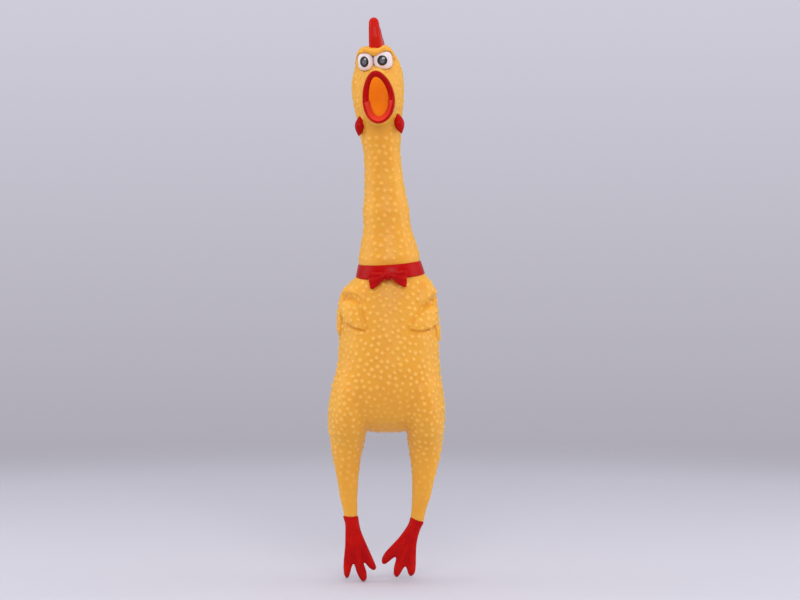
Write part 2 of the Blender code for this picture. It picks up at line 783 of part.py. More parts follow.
def paddle_outline(side):
    """The flat foot's outline, from the outer side of the ankle round the three toes."""
    toes, notches = TOES[side]
    points = [(-4.6 * MM, -3.0 * MM), (-5.0 * MM, -14.0 * MM)]
    for index, (degrees, length) in enumerate(toes):
        angle = math.radians(degrees)
        along = Vector((math.sin(angle), -math.cos(angle)))
        across = Vector((math.cos(angle), math.sin(angle)))
        tip = along * (length * MM - TOE_RADIUS)
        for turn in (-80, -40, 0, 40, 80):
            swing = math.radians(turn)
            offset = along * math.cos(swing) + across * math.sin(swing)
            points.append(tuple(tip + offset * TOE_RADIUS))
        if index < len(notches):
            degrees, length = notches[index]
            angle = math.radians(degrees)
            points.append((length * MM * math.sin(angle), -length * MM * math.cos(angle)))
    points += [(6.6 * MM, -14.0 * MM), (4.6 * MM, -3.0 * MM)]
    return [(-side * x, z) for x, z in points]


def make_foot(side):
    """A flat webbed paddle under a small ball that turns in the shank's cup."""
    bm = bmesh.new()
    outline = paddle_outline(side)
    back = [bm.verts.new((x, PADDLE_BACK, z)) for x, z in outline]
    front = [bm.verts.new((x, PADDLE_FRONT, z)) for x, z in outline]
    bm.faces.new(back)
    face = bm.faces.new(front[::-1])
    count = len(outline)
    for step in range(count):
        after = (step + 1) % count
        bm.faces.new((back[after], back[step], front[step], front[after]))
    bmesh.ops.bevel(
        bm, geom=face.edges[:], offset=PADDLE_EDGE, segments=2, profile=0.5, affect="EDGES"
    )
    if bm.calc_volume(signed=True) < 0:
        bmesh.ops.reverse_faces(bm, faces=bm.faces)
    name = side_name(side)
    foot = add_part(f"{name}_foot", bm, FOOT[side], "red_skin")
    pairs = STALK + ball_pairs(ANKLE_BALL, (-2.0, 0.0, 2.0, 3.4))
    sections = [(z, 0.0, radius, -radius * 0.98, radius * 0.98) for z, radius in pairs]
    height, radius = STALK[0]
    sections[0] = (height, 0.0, radius, PADDLE_FRONT / MM + 0.7, PADDLE_BACK / MM - 0.6)
    ankle = add_cutter(f"{name}_ankle", loft(sections, 20), FOOT[side])
    combine(foot, ankle, "UNION")


clear()
PARTS = new_collection(NAME)
CUTTERS = new_collection(NAME + "_cutters")

middle = Matrix.Translation((0, SETBACK, 0))
lean = Matrix.Rotation(-NECK_LEAN, 4, "Y")
collar_at = middle @ Matrix.Translation((COLLAR_X, 0, COLLAR_Z)) @ lean
neck_at = collar_at @ Matrix.Translation((0, 0, NECK_PIVOT))
face_turn = Matrix.Rotation(-HEAD_ROLL, 4, "Y") @ Matrix.Rotation(-HEAD_TURN, 4, "Z")
head_at = neck_at @ Matrix.Translation((0, 0, NECK_LENGTH)) @ face_turn
reed_root = BULKHEAD_Z + BULKHEAD_THICK + 1.0 * MM + REED_CLAMPED
reed_at = neck_at @ Matrix.Translation((0, -REED_REST_GAP, reed_root))

ROOT = add_frame("body_origin", middle)
BELLY = add_frame("belly_origin", middle)
COLLAR = add_frame("collar_origin", collar_at)
NECK = add_frame("neck_axis", neck_at)
HEAD_FRAME = add_frame("head_axis", head_at)
REED = add_frame("reed_axis", reed_at)
LEG = {}
FOOT = {}
for side in (1, -1):
    hip = middle @ Matrix.Translation((side * HIP_X, 0, HIP_Z))
    ankle = hip @ Matrix.Translation((-side * ANKLE_INSET[side], 0, -SHANK_DROP[side]))
    LEG[side] = add_frame(f"{side_name(side)}_hip_axis", hip)
    FOOT[side] = add_frame(
        f"{side_name(side)}_ankle_axis", ankle @ Matrix.Rotation(side * FOOT_TURN[side], 4, "Y")
    )

make_torso()
make_belly()
make_collar()
make_bow()
make_neck_base()
make_neck_skin()
make_whistle()
make_head()
make_lips()
make_comb()
for side in (1, -1):
    make_wing(side)
    make_eye(side)
    make_wattle(side)
    make_shank(side)
    make_foot(side)
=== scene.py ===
"""Rubber chicken: the looks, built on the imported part's frame.

Shapes are worked out in millimetres, x to the chicken's left, y to its back and z up. Most of them are
distance fields, negative inside, which surface() turns into quads.
"""

import math
import random
from functools import partial

import bmesh
import bpy
import numpy as np
from mathutils import Matrix, Vector, kdtree


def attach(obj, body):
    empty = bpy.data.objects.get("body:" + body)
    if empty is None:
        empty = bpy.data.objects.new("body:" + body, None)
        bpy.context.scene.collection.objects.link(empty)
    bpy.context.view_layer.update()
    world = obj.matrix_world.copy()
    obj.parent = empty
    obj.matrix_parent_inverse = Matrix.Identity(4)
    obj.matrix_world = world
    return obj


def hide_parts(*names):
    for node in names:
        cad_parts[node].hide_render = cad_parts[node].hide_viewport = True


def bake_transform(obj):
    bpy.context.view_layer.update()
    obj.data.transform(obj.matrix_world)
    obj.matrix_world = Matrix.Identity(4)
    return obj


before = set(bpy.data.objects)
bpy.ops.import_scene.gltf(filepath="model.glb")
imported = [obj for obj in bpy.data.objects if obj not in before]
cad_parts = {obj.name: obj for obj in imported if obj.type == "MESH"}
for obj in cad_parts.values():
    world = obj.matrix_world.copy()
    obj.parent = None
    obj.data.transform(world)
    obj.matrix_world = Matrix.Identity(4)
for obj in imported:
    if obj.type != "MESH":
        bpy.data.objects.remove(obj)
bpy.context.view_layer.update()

MM = 0.001
SEED = 11

# ---- driving dimensions, the same as the part's own: joints, leans and turns ----
SETBACK = -1.2
COLLAR_AT = (2.8, SETBACK, 222.0)
NECK_LEAN = math.radians(3.8)
NECK_PIVOT = 28.0
NECK_LENGTH = 61.0
HEAD_ROLL = math.radians(0.8)
HEAD_TURN = math.radians(5.5)
ANKLE = {1: (22.1, SETBACK, 44.2), -1: (-24.9, SETBACK, 45.5)}
FOOT_TURN = {1: math.radians(21.5), -1: math.radians(10.6)}

# ---- meshes: how fine, and where the skins are parted ----
STEP = 0.7
CROWN_STEP = STEP * 0.9
FINE = 0.45
FINEST = 0.35
THIGH_SEAM = 104.5
SHANK_SEAM = 66.0
NECK_SEAM = 32.0  # above the neck's pivot
SEAM_BARE = 1.7  # no pimple's middle lies nearer to a seam

# ---- body ----

# Section rows: height, centre x, half width, front y, back y.
TORSO = [
    (106.6, 0.6, 10.0, -3.0, 7.0),
    (107.4, 0.6, 15.0, -6.5, 13.0),
    (109.5, 0.6, 22.0, -11.5, 19.5),
    (113.0, 0.6, 27.0, -17.0, 24.0),
    (119.0, 0.6, 31.0, -22.8, 26.6),
    (128.0, 0.6, 33.8, -27.6, 28.2),
    (140.0, 1.2, 35.0, -30.4, 28.8),
    (152.0, 2.2, 35.4, -31.0, 28.6),
    (165.0, 2.0, 35.3, -30.2, 28.0),
    (172.0, 2.0, 35.5, -29.6, 27.6),
    (178.0, 1.8, 35.6, -28.8, 27.2),
    (190.0, 1.2, 34.8, -27.2, 26.4),
    (196.0, 1.3, 34.2, -26.4, 25.8),
    (200.0, 1.5, 33.6, -25.6, 25.2),
    (205.0, 1.7, 32.9, -24.6, 24.4),
    (209.0, 1.4, 32.0, -23.8, 23.8),
    (212.0, 1.7, 29.8, -23.0, 23.3),
    (215.0, 2.3, 27.0, -22.4, 22.8),
    (218.0, 2.7, 24.4, -21.8, 22.0),
    (221.0, 2.9, 22.0, -21.0, 21.2),
    (224.0, 2.7, 20.6, -20.2, 20.4),
]

# Each leg from inside the body down to the ankle.
LEG = {
    1: [
        (38.0, 20.6, 4.8, -4.5, 4.5),
        (44.0, 22.1, 4.9, -4.6, 4.6),
        (49.0, 22.9, 5.0, -4.8, 4.8),
        (54.7, 23.9, 5.6, -5.4, 5.4),
        (60.4, 25.2, 6.6, -6.2, 6.2),
        (66.0, 25.6, 7.1, -6.8, 6.8),
        (71.8, 26.3, 7.8, -7.5, 7.5),
        (77.4, 27.0, 8.5, -8.2, 8.2),
        (83.0, 27.4, 9.5, -9.2, 9.2),
        (88.8, 27.7, 10.6, -10.6, 10.6),
        (94.5, 27.8, 11.4, -12.6, 12.4),
        (100.2, 27.7, 12.1, -16.0, 15.0),
        (106.0, 27.7, 12.9, -20.0, 17.6),
        (115.0, 27.5, 14.0, -24.4, 20.0),
        (125.0, 26.6, 15.0, -26.6, 21.2),
        (140.0, 24.6, 15.2, -26.4, 20.6),
        (155.0, 22.3, 14.5, -21.0, 17.0),
        (168.0, 20.0, 10.0, -13.0, 12.0),
    ],
    -1: [
        (38.0, -24.2, 4.9, -4.6, 4.6),
        (44.0, -24.8, 4.9, -4.6, 4.6),
        (49.0, -25.2, 4.7, -4.6, 4.6),
        (54.7, -25.7, 5.6, -5.4, 5.4),
        (60.4, -26.6, 6.1, -6.0, 6.0),
        (66.0, -26.7, 6.8, -6.6, 6.6),
        (71.8, -27.0, 7.3, -7.2, 7.2),
        (77.4, -27.4, 8.2, -8.0, 8.0),
        (83.0, -27.5, 9.0, -8.9, 8.9),
        (88.8, -27.8, 10.0, -10.4, 10.4),
        (94.5, -27.5, 11.1, -12.6, 12.4),
        (100.2, -27.1, 11.7, -16.0, 15.0),
        (106.0, -27.1, 13.3, -20.0, 17.6),
        (115.0, -26.6, 14.2, -24.4, 20.0),
        (125.0, -25.4, 15.0, -26.6, 21.2),
        (140.0, -22.8, 15.2, -26.4, 20.6),
        (155.0, -19.5, 14.0, -21.0, 17.0),
        (168.0, -20.0, 10.0, -13.0, 12.0),
    ],
}

TAIL = ((0.6, 25.4, 126.0), (5.5, 8.5, 7.0))
RUMP_FOLD_Z = 112.6
UNROLLED_RADIUS = 30.5

# Neck rows: height above the neck pivot, radius.
NECK = [
    (-23.2, 21.5),
    (-20.0, 21.6),
    (-17.0, 21.2),
    (-13.4, 20.2),
    (-8.0, 19.2),
    (-2.0, 17.3),
    (4.0, 16.5),
    (15.0, 16.3),
    (23.5, 14.8),
    (32.0, 13.9),
    (40.6, 13.2),
    (49.0, 12.9),
    (58.0, 12.9),
    (66.0, 13.6),
    (72.0, 12.0),
]

# Head rows, seen from the head's own frame.
HEAD = [
    (-6.0, 0.0, 11.0, -11.0, 11.0),
    (0.0, 0.0, 12.9, -12.9, 12.9),
    (5.6, 0.0, 13.9, -13.8, 14.0),
    (9.0, 0.0, 14.5, -14.5, 15.0),
    (14.0, 0.0, 15.3, -15.5, 16.2),
    (20.0, 0.0, 15.9, -16.5, 17.2),
    (28.0, 0.1, 17.3, -17.5, 18.2),
    (36.0, 0.4, 18.2, -18.0, 18.8),
    (44.0, 0.8, 18.3, -17.8, 18.8),
    (50.0, 1.3, 17.3, -17.0, 18.3),
    (55.0, 1.7, 15.9, -16.2, 17.4),
    (60.0, 0.9, 14.6, -15.4, 16.0),
    (63.5, 0.7, 13.2, -13.8, 14.4),
    (66.0, 0.7, 12.1, -13.2, 12.8),
    (68.0, 0.5, 10.8, -11.8, 10.6),
    (69.4, 0.1, 9.2, -9.6, 8.0),
]

# The beak's mouth is an egg in the head's front plane.
MOUTH_X = 2.6
MOUTH_Z = 34.8
MOUTH_HALF = (10.9, 18.2)
MOUTH_TAPER = 0.15
LIP_WIDTH = 4.4
LIP_DEPTH = 3.0
LIP_CORNER_Y = -21.5
LIP_TIP_REACH = 9.0
GAPE_ANGLE = math.radians(-11.5)
SNOUT_ROOT = (-6.0, 1.2)  # where the snout starts inside the head, and its size there

# Wing feathers as outlines on the unrolled body: (distance round from the front, height), then how far they
# stand out and over what width their edges rise.
WINGS = {
    -1: [
        ([(-38.5, 181), (-38, 189), (-38, 198), (-40, 206), (-50, 207), (-56, 197), (-56, 186), (-50, 178),
          (-43, 176)], 0.7, 1.6),
        ([(-26.7, 202.4), (-20.5, 199.5), (-18.2, 194.7), (-16, 187.7), (-14.5, 181.4), (-20, 182.3),
          (-25.2, 184.2), (-31.5, 188.0), (-35.5, 194), (-36, 199), (-31.5, 202)], 2.6, 1.0),
        ([(-16.4, 199.5), (-21, 203.5), (-26, 205.2), (-31, 206), (-38, 204), (-43, 207), (-40, 214),
          (-30, 216.5), (-22, 215), (-17, 210), (-15, 204)], 2.3, 4.4),
    ],
    1: [
        ([(40, 177), (38, 184), (38, 194), (40, 203), (50, 204), (56, 193), (55, 180), (50, 171),
          (44, 171)], 0.8, 1.4),
        ([(13.6, 182.1), (17, 188.1), (21.6, 193.1), (27, 196.4), (33, 198.6), (37, 195.5), (38, 188),
          (34, 183.5), (27, 181.3), (19, 180.6)], 2.6, 1.0),
        ([(20.4, 195.7), (27, 199.4), (33, 201.6), (39, 201), (43, 204.6), (40, 211), (33, 215.5),
          (27, 215), (23, 209.5), (20, 202.2)], 2.6, 4.0),
    ],
}

# The comb's side view: distance back, height.
COMB = [
    (-8.0, 58.0),
    (-10.3, 68.0),
    (-10.6, 76.0),
    (-9.2, 83.5),
    (-6.9, 88.3),
    (-4.6, 89.3),
    (-2.6, 88.0),
    (-0.9, 83.0),
    (0.8, 78.6),
    (2.6, 77.6),
    (4.6, 81.4),
    (6.8, 83.2),
    (8.6, 81.6),
    (9.8, 77.4),
    (11.2, 74.8),
    (12.8, 75.2),
    (14.2, 72.6),
    (14.8, 66.0),
    (13.0, 58.0),
]
COMB_HALF = (4.8, 3.3)
COMB_HEIGHTS = (67.0, 89.3)
COMB_X = 2.2
COMB_LEAN = -0.01

BROW = [(-10.2, -11.5, 62.4), (-8.6, -13.8, 65.2), (-4.6, -15.6, 67.4), (0.4, -16.6, 66.0), (2.6, -16.8, 65.0),
        (4.8, -16.6, 66.0), (8.4, -15.2, 67.4), (12.0, -12.2, 65.2), (14.4, -8.6, 60.8)]
BROW_RADIUS = 1.7

# Wattles: across, up, lean in degrees. Each is a drop of these half sizes.
WATTLES = {1: (14.6, 14.4, -8.0), -1: (-13.2, 14.8, 10.0)}
WATTLE_Y = -9.0
WATTLE_HALF = (3.6, 5.4, 7.8)

# Eyes: middle across the face, half width, then the pupil's middle and its half width and height.
EYE_Y = -14.0
EYE_Z = 59.5
EYE_DEPTH = 4.6
EYE_TALL = 6.4
PUPIL_Y = -18.2
PUPIL_DEPTH = 1.3
EYES = {1: (7.3, 6.7, 7.2, (3.65, 3.7)), -1: (-5.0, 5.5, -5.5, (3.05, 3.85))}

BOW_X = -1.7  # the knot's place beside the collar's middle
BOW_REACH = 13.4
BOW_Y = -26.7
KNOT = ((BOW_X, -28.0, -1.4), (2.5, 2.6, 3.9))

WHISTLE = ("whistle_barrel", "whistle_cap", "reed_bulkhead", "reed_shallot", "reed_wedge", "reed_tongue")

# Two points along the neck and along the head skin, from the one on the first body's side to the one on the
# second's:
# millimetres above the neck's pivot or its end.
NECK_BLEND = (-18, 22)
HEAD_BLEND = (-18, 8)

# Pimples: the least gap between two, then their radius.
PIMPLES = {"body": (4.1, 1.6), "neck": (4.5, 1.65), "head": (3.3, 1.5)}

# Foot outlines in the foot's own plane: across, and up from the ankle.
FOOT = {
    1: [(-4.5, 2.6), (-4.7, -5.0), (-6.6, -13.5), (-10.2, -22.9), (-12.8, -29.8), (-13.1, -35.1),
        (-11.4, -38.4), (-8.6, -37.5), (-4.5, -31.1), (-3.2, -37.7), (-1.3, -42.3), (1.6, -43.8),
        (3.3, -40.8), (4.6, -34.8), (8.0, -38.4), (10.6, -39.4), (12.3, -36.7), (11.9, -32.1),
        (8.3, -22.1), (5.7, -13.9), (4.7, -6.0), (4.5, 2.6)],
    -1: [(-4.6, 4.2), (-4.9, -4.2), (-7.2, -15.3), (-10.1, -25.6), (-12.0, -33.2), (-12.2, -39.0),
        (-10.7, -42.2), (-8.3, -40.2), (-4.5, -33.3), (-3.5, -39.1), (-1.8, -44.3), (0.7, -46.4),
        (3.4, -44.5), (4.1, -39.5), (3.4, -33.8), (6.0, -37.7), (8.8, -39.9), (11.1, -38.5),
        (10.8, -34.2), (8.2, -21.8), (5.2, -9.3), (4.6, 4.2)],
}
TOE_TIPS = {1: [(-12, -36), (0.6, -42), (11, -37.5)], -1: [(-11, -40), (0.5, -45), (9.8, -38)]}
PADDLE = (-2.6, 2.1)  # front and back of the foot
ANKLE_HALF = 4.4  # half thickness of the foot where it meets the shank
PAINT_EDGE = {1: (0.0, 0.0), -1: (1.2, 0.187)}  # where the red starts: above the ankle, and its slope across

# The setting, in metres.
LOOK_AT = Vector((0.00995, 0.0, 0.2004))
CAMERA_DISTANCE = 4.0
VIEW_WIDTH = 0.5655
PITCH = math.radians(5.0)
FLOOR_FADE = (0.62, 0.95)
WORLD_LIGHT = 0.5
LIGHTS = {"side": 3.2, "front": 14.0, "top": 5.0}


# ---- small maths ----


def smooth_rows(rows, spread=2.0):
    """Rows sampled every half millimetre and softened, so that sections flow into each other."""
    rows = np.array(rows, float)
    z = np.arange(rows[0, 0], rows[-1, 0] + 0.25, 0.5)
    reach = int(3 * spread / 0.5)
    kernel = np.exp(-0.5 * (np.arange(-reach, reach + 1) * 0.5 / spread) ** 2)
    kernel /= kernel.sum()
    columns = []
    for column in rows[:, 1:].T:
        line = np.interp(z, rows[:, 0], column)
        padded = np.pad(line, reach, mode="reflect", reflect_type="odd")
        columns.append(np.convolve(padded, kernel, mode="valid"))
    return z, columns


def elliptic(p, table, edge=1.5):
    """About how far p lies outside a stack of ellipses, flat at both ends with rounded edges."""
    z, (centre, half, front, back) = table
    at = p[:, 2]
    c, h, f, b = [np.interp(at, z, column) for column in (centre, half, front, back)]
    deep = (b - f) / 2
    across = (p[:, 0] - c) / h
    along = (p[:, 1] - (f + b) / 2) / deep
    side = (np.sqrt(across**2 + along**2) - 1) * np.minimum(h, deep)
    return cut(side, np.maximum(z[0] - at, at - z[-1]), edge)


def join(a, b, k):
    """Union of two distances with a fillet of about k."""
    t = np.clip(0.5 + 0.5 * (b - a) / k, 0, 1)
    return b * (1 - t) + a * t - k * t * (1 - t)


def cut(a, b, k):
    """a and b together only, with an edge rounded by about k."""
    return -join(-a, -b, k)


def rounded_cut(a, b, radius):
    """a and b together only, meeting in a round edge of that radius."""
    a, b = a + radius, b + radius
    return np.minimum(np.maximum(a, b), 0) + np.hypot(np.maximum(a, 0), np.maximum(b, 0)) - radius


def ball(p, centre, half):
    q = (p - np.array(centre)) / np.array(half)
    return (np.sqrt((q**2).sum(1)) - 1) * min(half)


def capsule(p, a, b, radius):
    a, b = np.array(a, float), np.array(b, float)
    along = np.clip(((p - a) @ (b - a)) / ((b - a) @ (b - a)), 0, 1)
    return np.linalg.norm(p - a - along[:, None] * (b - a), axis=1) - radius


def outline_distance(u, v, points):
    """Signed distance from a closed outline, negative inside it."""
    points = np.array(points, float)
    best = np.full(u.shape, 1e9)
    inside = np.zeros(u.shape, bool)
    for (x0, y0), (x1, y1) in zip(points, np.roll(points, -1, axis=0)):
        ex, ey = x1 - x0, y1 - y0
        t = np.clip(((u - x0) * ex + (v - y0) * ey) / (ex * ex + ey * ey), 0, 1)
        best = np.minimum(best, (u - x0 - t * ex) ** 2 + (v - y0 - t * ey) ** 2)
        if ey:
            crosses = ((y0 > v) != (y1 > v)) & (u < x0 + (v - y0) * ex / ey)
            inside ^= crosses
    return np.where(inside, -1, 1) * np.sqrt(best)


def ramp(value, low, high):
    t = np.clip((value - low) / (high - low), 0, 1)
    return t * t * (3 - 2 * t)


def local(p, matrix):
    """World points seen from a local frame."""
    inverse = np.array(matrix.inverted())
    return p @ inverse[:3, :3].T + inverse[:3, 3]


def at(x, y, z):
    return Matrix.Translation((x, y, z))


COLLAR_FRAME = at(*COLLAR_AT) @ Matrix.Rotation(-NECK_LEAN, 4, "Y")
NECK_FRAME = COLLAR_FRAME @ at(0, 0, NECK_PIVOT)
FACE = Matrix.Rotation(-HEAD_ROLL, 4, "Y") @ Matrix.Rotation(-HEAD_TURN, 4, "Z")
HEAD_FRAME = NECK_FRAME @ at(0, 0, NECK_LENGTH) @ FACE
FOOT_FRAME = {side: at(*ANKLE[side]) @ Matrix.Rotation(side * FOOT_TURN[side], 4, "Y") for side in (1, -1)}


# ---- meshing ----


def surface(field, low, high, step, block=4):
    """A quad mesh of field = 0 in the box: one vertex per cell it crosses, drawn onto the surface."""
    low = np.array(low, float)
    counts = (np.ceil((np.array(high) - low) / step / block) * block).astype(int) + 1
    axes = [low[k] + step * np.arange(counts[k]) for k in range(3)]
    coarse_axes = [axis[::block] for axis in axes]
    grid = np.stack(np.meshgrid(*coarse_axes, indexing="ij"), -1).reshape(-1, 3)
    coarse = field(grid).reshape([len(axis) for axis in coarse_axes])
    near = np.abs(coarse) < block * step * 2
    active = np.zeros([size - 1 for size in near.shape], bool)
    for corner in np.ndindex(2, 2, 2):
        active |= near[tuple(slice(c, c + size) for c, size in zip(corner, active.shape))]
    cells = active.repeat(block, 0).repeat(block, 1).repeat(block, 2)
    wanted = np.zeros(counts, bool)
    for corner in np.ndindex(2, 2, 2):
        wanted[tuple(slice(c, c + size) for c, size in zip(corner, cells.shape))] |= cells
    nearest = []
    for count, size in zip(counts, coarse.shape):
        nearest.append(np.minimum((np.arange(count) + block // 2) // block, size - 1))
    values = coarse[np.ix_(*nearest)]
    index = np.argwhere(wanted)
    values[wanted] = field(low + index * step)
    inside = values < 0
    corners, points, quads = [], [], []
    cell_shape = np.array(counts) - 1
    for axis in range(3):
        first = [slice(None)] * 3
        second = [slice(None)] * 3
        first[axis], second[axis] = slice(0, -1), slice(1, None)
        first, second = tuple(first), tuple(second)
        edge = np.argwhere(inside[first] != inside[second])
        others = [(axis + 1) % 3, (axis + 2) % 3]
        edge = edge[((edge[:, others] > 0) & (edge[:, others] < cell_shape[others])).all(1)]
        a = values[first][tuple(edge.T)]
        b = values[second][tuple(edge.T)]
        where = edge.astype(float)
        where[:, axis] += a / (a - b)
        ring = []
        for du, dv in ((0, 0), (1, 0), (1, 1), (0, 1)):
            cell = edge.copy()
            cell[:, (axis + 1) % 3] -= du
            cell[:, (axis + 2) % 3] -= dv
            ring.append(np.ravel_multi_index(tuple(cell.T), cell_shape))
            points.append(where)
        ring = np.stack(ring, 1)
        outward = (a < 0)[:, None]
        quads.append(np.where(outward, ring, ring[:, ::-1]))
        corners.extend(ring.T)
    owner, where = np.concatenate(corners), np.concatenate(points)
    ids, slot = np.unique(owner, return_inverse=True)
    total = np.bincount(slot, minlength=len(ids))
    verts = np.stack([np.bincount(slot, where[:, k]) / total for k in range(3)], 1)
    verts = low + verts * step
    faces = np.searchsorted(ids, np.concatenate(quads))
    for _ in range(2):
        verts = 0.4 * verts + 0.6 * neighbour_mean(verts, faces)
    for _ in range(3):
        distance, normal = distance_and_normal(field, verts)
        verts = verts - np.clip(distance, -step, step)[:, None] * normal
    return verts, faces


def neighbour_mean(verts, faces):
    start = faces.ravel()
    end = np.roll(faces, -1, axis=1).ravel()
    a, b = np.concatenate([start, end]), np.concatenate([end, start])
    total = np.bincount(a, minlength=len(verts))
    return np.stack([np.bincount(a, verts[b, k], len(verts)) / total for k in range(3)], 1)


def distance_and_normal(field, p, reach=0.15):
    """The field scaled to a true distance near zero, and its outward direction."""
    gradient = np.zeros_like(p)
    for k in range(3):
        nudge = np.zeros(3)
        nudge[k] = reach
        gradient[:, k] = (field(p + nudge) - field(p - nudge)) / (2 * reach)
    size = np.maximum(np.linalg.norm(gradient, axis=1), 1e-6)
    return field(p) / size, gradient / size[:, None]


def mesh_normals(verts, faces):
    a, b, c, d = [verts[faces[:, k]] for k in range(4)]
    face = np.cross(c - a, d - b)
    total = np.zeros_like(verts)
    for k in range(4):
        for axis in range(3):
            total[:, axis] += np.bincount(faces[:, k], face[:, axis], len(verts))
    return total / np.maximum(np.linalg.norm(total, axis=1), 1e-9)[:, None]


def make_mesh(name, verts, faces, normals=None, **values):
    """A piece from millimetre points, with optional true normals and named values per point."""
    used, back = np.unique(faces, return_inverse=True)
    faces = back.reshape(faces.shape)
    mesh = bpy.data.meshes.new(name)
    mesh.vertices.add(len(used))
    mesh.vertices.foreach_set("co", (verts[used] * MM).astype(np.float32).ravel())
    size = faces.shape[1]
    mesh.loops.add(faces.size)
    mesh.loops.foreach_set("vertex_index", faces.ravel().astype(np.int32))
    mesh.polygons.add(len(faces))
    mesh.polygons.foreach_set("loop_start", np.arange(0, faces.size, size, dtype=np.int32))
    mesh.update(calc_edges=True)
    mesh.polygons.foreach_set("use_smooth", np.ones(len(faces), bool))
    for key, value in values.items():
        layer = mesh.attributes.new(key, "FLOAT", "POINT")
        layer.data.foreach_set("value", value[used].astype(np.float32))
    if normals is not None:
        mesh.normals_split_custom_set_from_vertices(normals[used])
    obj = bpy.data.objects.new(name, mesh)
    bpy.context.scene.collection.objects.link(obj)
    return obj


def grid_mesh(rings, close_ends=True):
    """A piece from rings of points, each joined to the next."""
    rings = np.array(rings, float)
    count, size = rings.shape[:2]
    verts = rings.reshape(-1, 3)
    rows = np.arange(count - 1)[:, None] * size
    step = np.arange(size)[None, :]
    after = (step + 1) % size
    faces = np.stack([rows + step, rows + after, rows + size + after, rows + size + step], -1).reshape(-1, 4)
    if close_ends:
        for start, order in ((0, -1), ((count - 1) * size, 1)):
            middle = len(verts)
            verts = np.vstack([verts, verts[start : start + size].mean(0)])
            loop = start + np.arange(size)[::order]
            fan = np.stack([loop, np.roll(loop, -1), np.full(size, middle), np.full(size, middle)], 1)
            faces = np.vstack([faces, fan])
    return verts, faces


# ---- materials ----


def material(name, roughness, coat=0.0):
    made = bpy.data.materials.new(name)
    made.use_nodes = True
    shader = made.node_tree.nodes["Principled BSDF"]
    shader.inputs["Roughness"].default_value = roughness
    shader.inputs["Coat Weight"].default_value = coat
    shader.inputs["Coat Roughness"].default_value = 0.12
    return made, made.node_tree, shader


def srgb(red, green, blue):
    def one(value):
        value /= 255
        return value / 12.92 if value <= 0.04045 else ((value + 0.055) / 1.055) ** 2.4

    return (one(red), one(green), one(blue), 1.0)


def mixed(tree, factor, first, second):
    """A colour node between two colours or sockets, driven by factor."""
    node = tree.nodes.new("ShaderNodeMix")
    node.data_type = "RGBA"
    for socket, value in ((node.inputs[0], factor), (node.inputs[6], first), (node.inputs[7], second)):
        if hasattr(value, "links"):
            tree.links.new(value, socket)
        else:
            socket.default_value = value
    return node.outputs[2]


def point_value(tree, name):
    node = tree.nodes.new("ShaderNodeAttribute")
    node.attribute_name = name
    return node.outputs["Fac"]


def noise(tree, scale, low, high):
    """Object-space noise stretched between low and high."""
    place = tree.nodes.new("ShaderNodeTexCoord")
    texture = tree.nodes.new("ShaderNodeTexNoise")
    texture.inputs["Scale"].default_value = scale
    texture.inputs["Detail"].default_value = 3.0
    tree.links.new(place.outputs["Object"], texture.inputs["Vector"])
    remap = tree.nodes.new("ShaderNodeMapRange")
    remap.inputs["From Min"].default_value = low
    remap.inputs["From Max"].default_value = high
    tree.links.new(texture.outputs["Fac"], remap.inputs["Value"])
    return remap.outputs["Result"]


def soften(shader, weight, scale, radius):
    shader.inputs["Subsurface Weight"].default_value = weight
    shader.inputs["Subsurface Scale"].default_value = scale
    shader.inputs["Subsurface Radius"].default_value = radius


def yellow_skin():
    """Thin yellow vinyl with painted light: highlights on the pimples, a rim light toward its edges, an orange
    glow inside the mouth.
    """
    made, tree, shader = material("yellow_vinyl", 0.42)
    shader.inputs["Specular IOR Level"].default_value = 0.3
    base = mixed(tree, noise(tree, 30.0, 0.35, 0.65), srgb(228, 156, 48), srgb(234, 166, 54))
    # Painted rim light: the yellow is painted lighter toward the silhouette, standing in for light through the
    # thin skin's edges.
    facing = tree.nodes.new("ShaderNodeLayerWeight")
    facing.inputs["Blend"].default_value = 0.35
    painted_rim_light = mixed(tree, facing.outputs["Facing"], base, srgb(240, 180, 60))
    # Painted highlight: the pimples' tops are painted a paler yellow, as if lit from the front.
    pimple_highlight = mixed(tree, point_value(tree, "pimple"), painted_rim_light, srgb(252, 200, 104))
    # Painted light inside the mouth: a more orange yellow standing in for light through the skin and bounced
    # between its walls.
    inner = mixed(tree, point_value(tree, "inner"), pimple_highlight, srgb(240, 164, 40))
    tree.links.new(inner, shader.inputs["Base Color"])
    soften(shader, 0.25, 0.003, (1.0, 0.45, 0.12))
    # Painted glow: the mouth's inside gives off a little orange light of its own.
    glow = tree.nodes.new("ShaderNodeMath")
    glow.operation = "MULTIPLY"
    glow.inputs[1].default_value = 0.34
    tree.links.new(point_value(tree, "glow"), glow.inputs[0])
    tree.links.new(glow.outputs[0], shader.inputs["Emission Strength"])
    shader.inputs["Emission Color"].default_value = srgb(238, 166, 44)
    return made


def red_skin(name, first, second, roughness=0.3, spots=60.0):
    """Glossy red paint with slightly uneven cover."""
    made, tree, shader = material(name, roughness)
    tree.links.new(mixed(tree, noise(tree, spots, 0.35, 0.65), first, second), shader.inputs["Base Color"])
    shader.inputs["Specular IOR Level"].default_value = 0.08
    return made


def pupil_gloss():
    """A black ring round a grey middle that is a painted reflection, under a clear shine."""
    made, tree, shader = material("eye_black_gloss", 0.15, 0.3)
    # Painted reflection: a grey patch in the pupil's middle stands in for the lamps mirrored in it.
    grey = mixed(tree, noise(tree, 900.0, 0.3, 0.7), srgb(66, 66, 72), srgb(118, 118, 124))
    colour = mixed(tree, point_value(tree, "middle"), srgb(22, 20, 22), grey)
    tree.links.new(colour, shader.inputs["Base Color"])
    return made


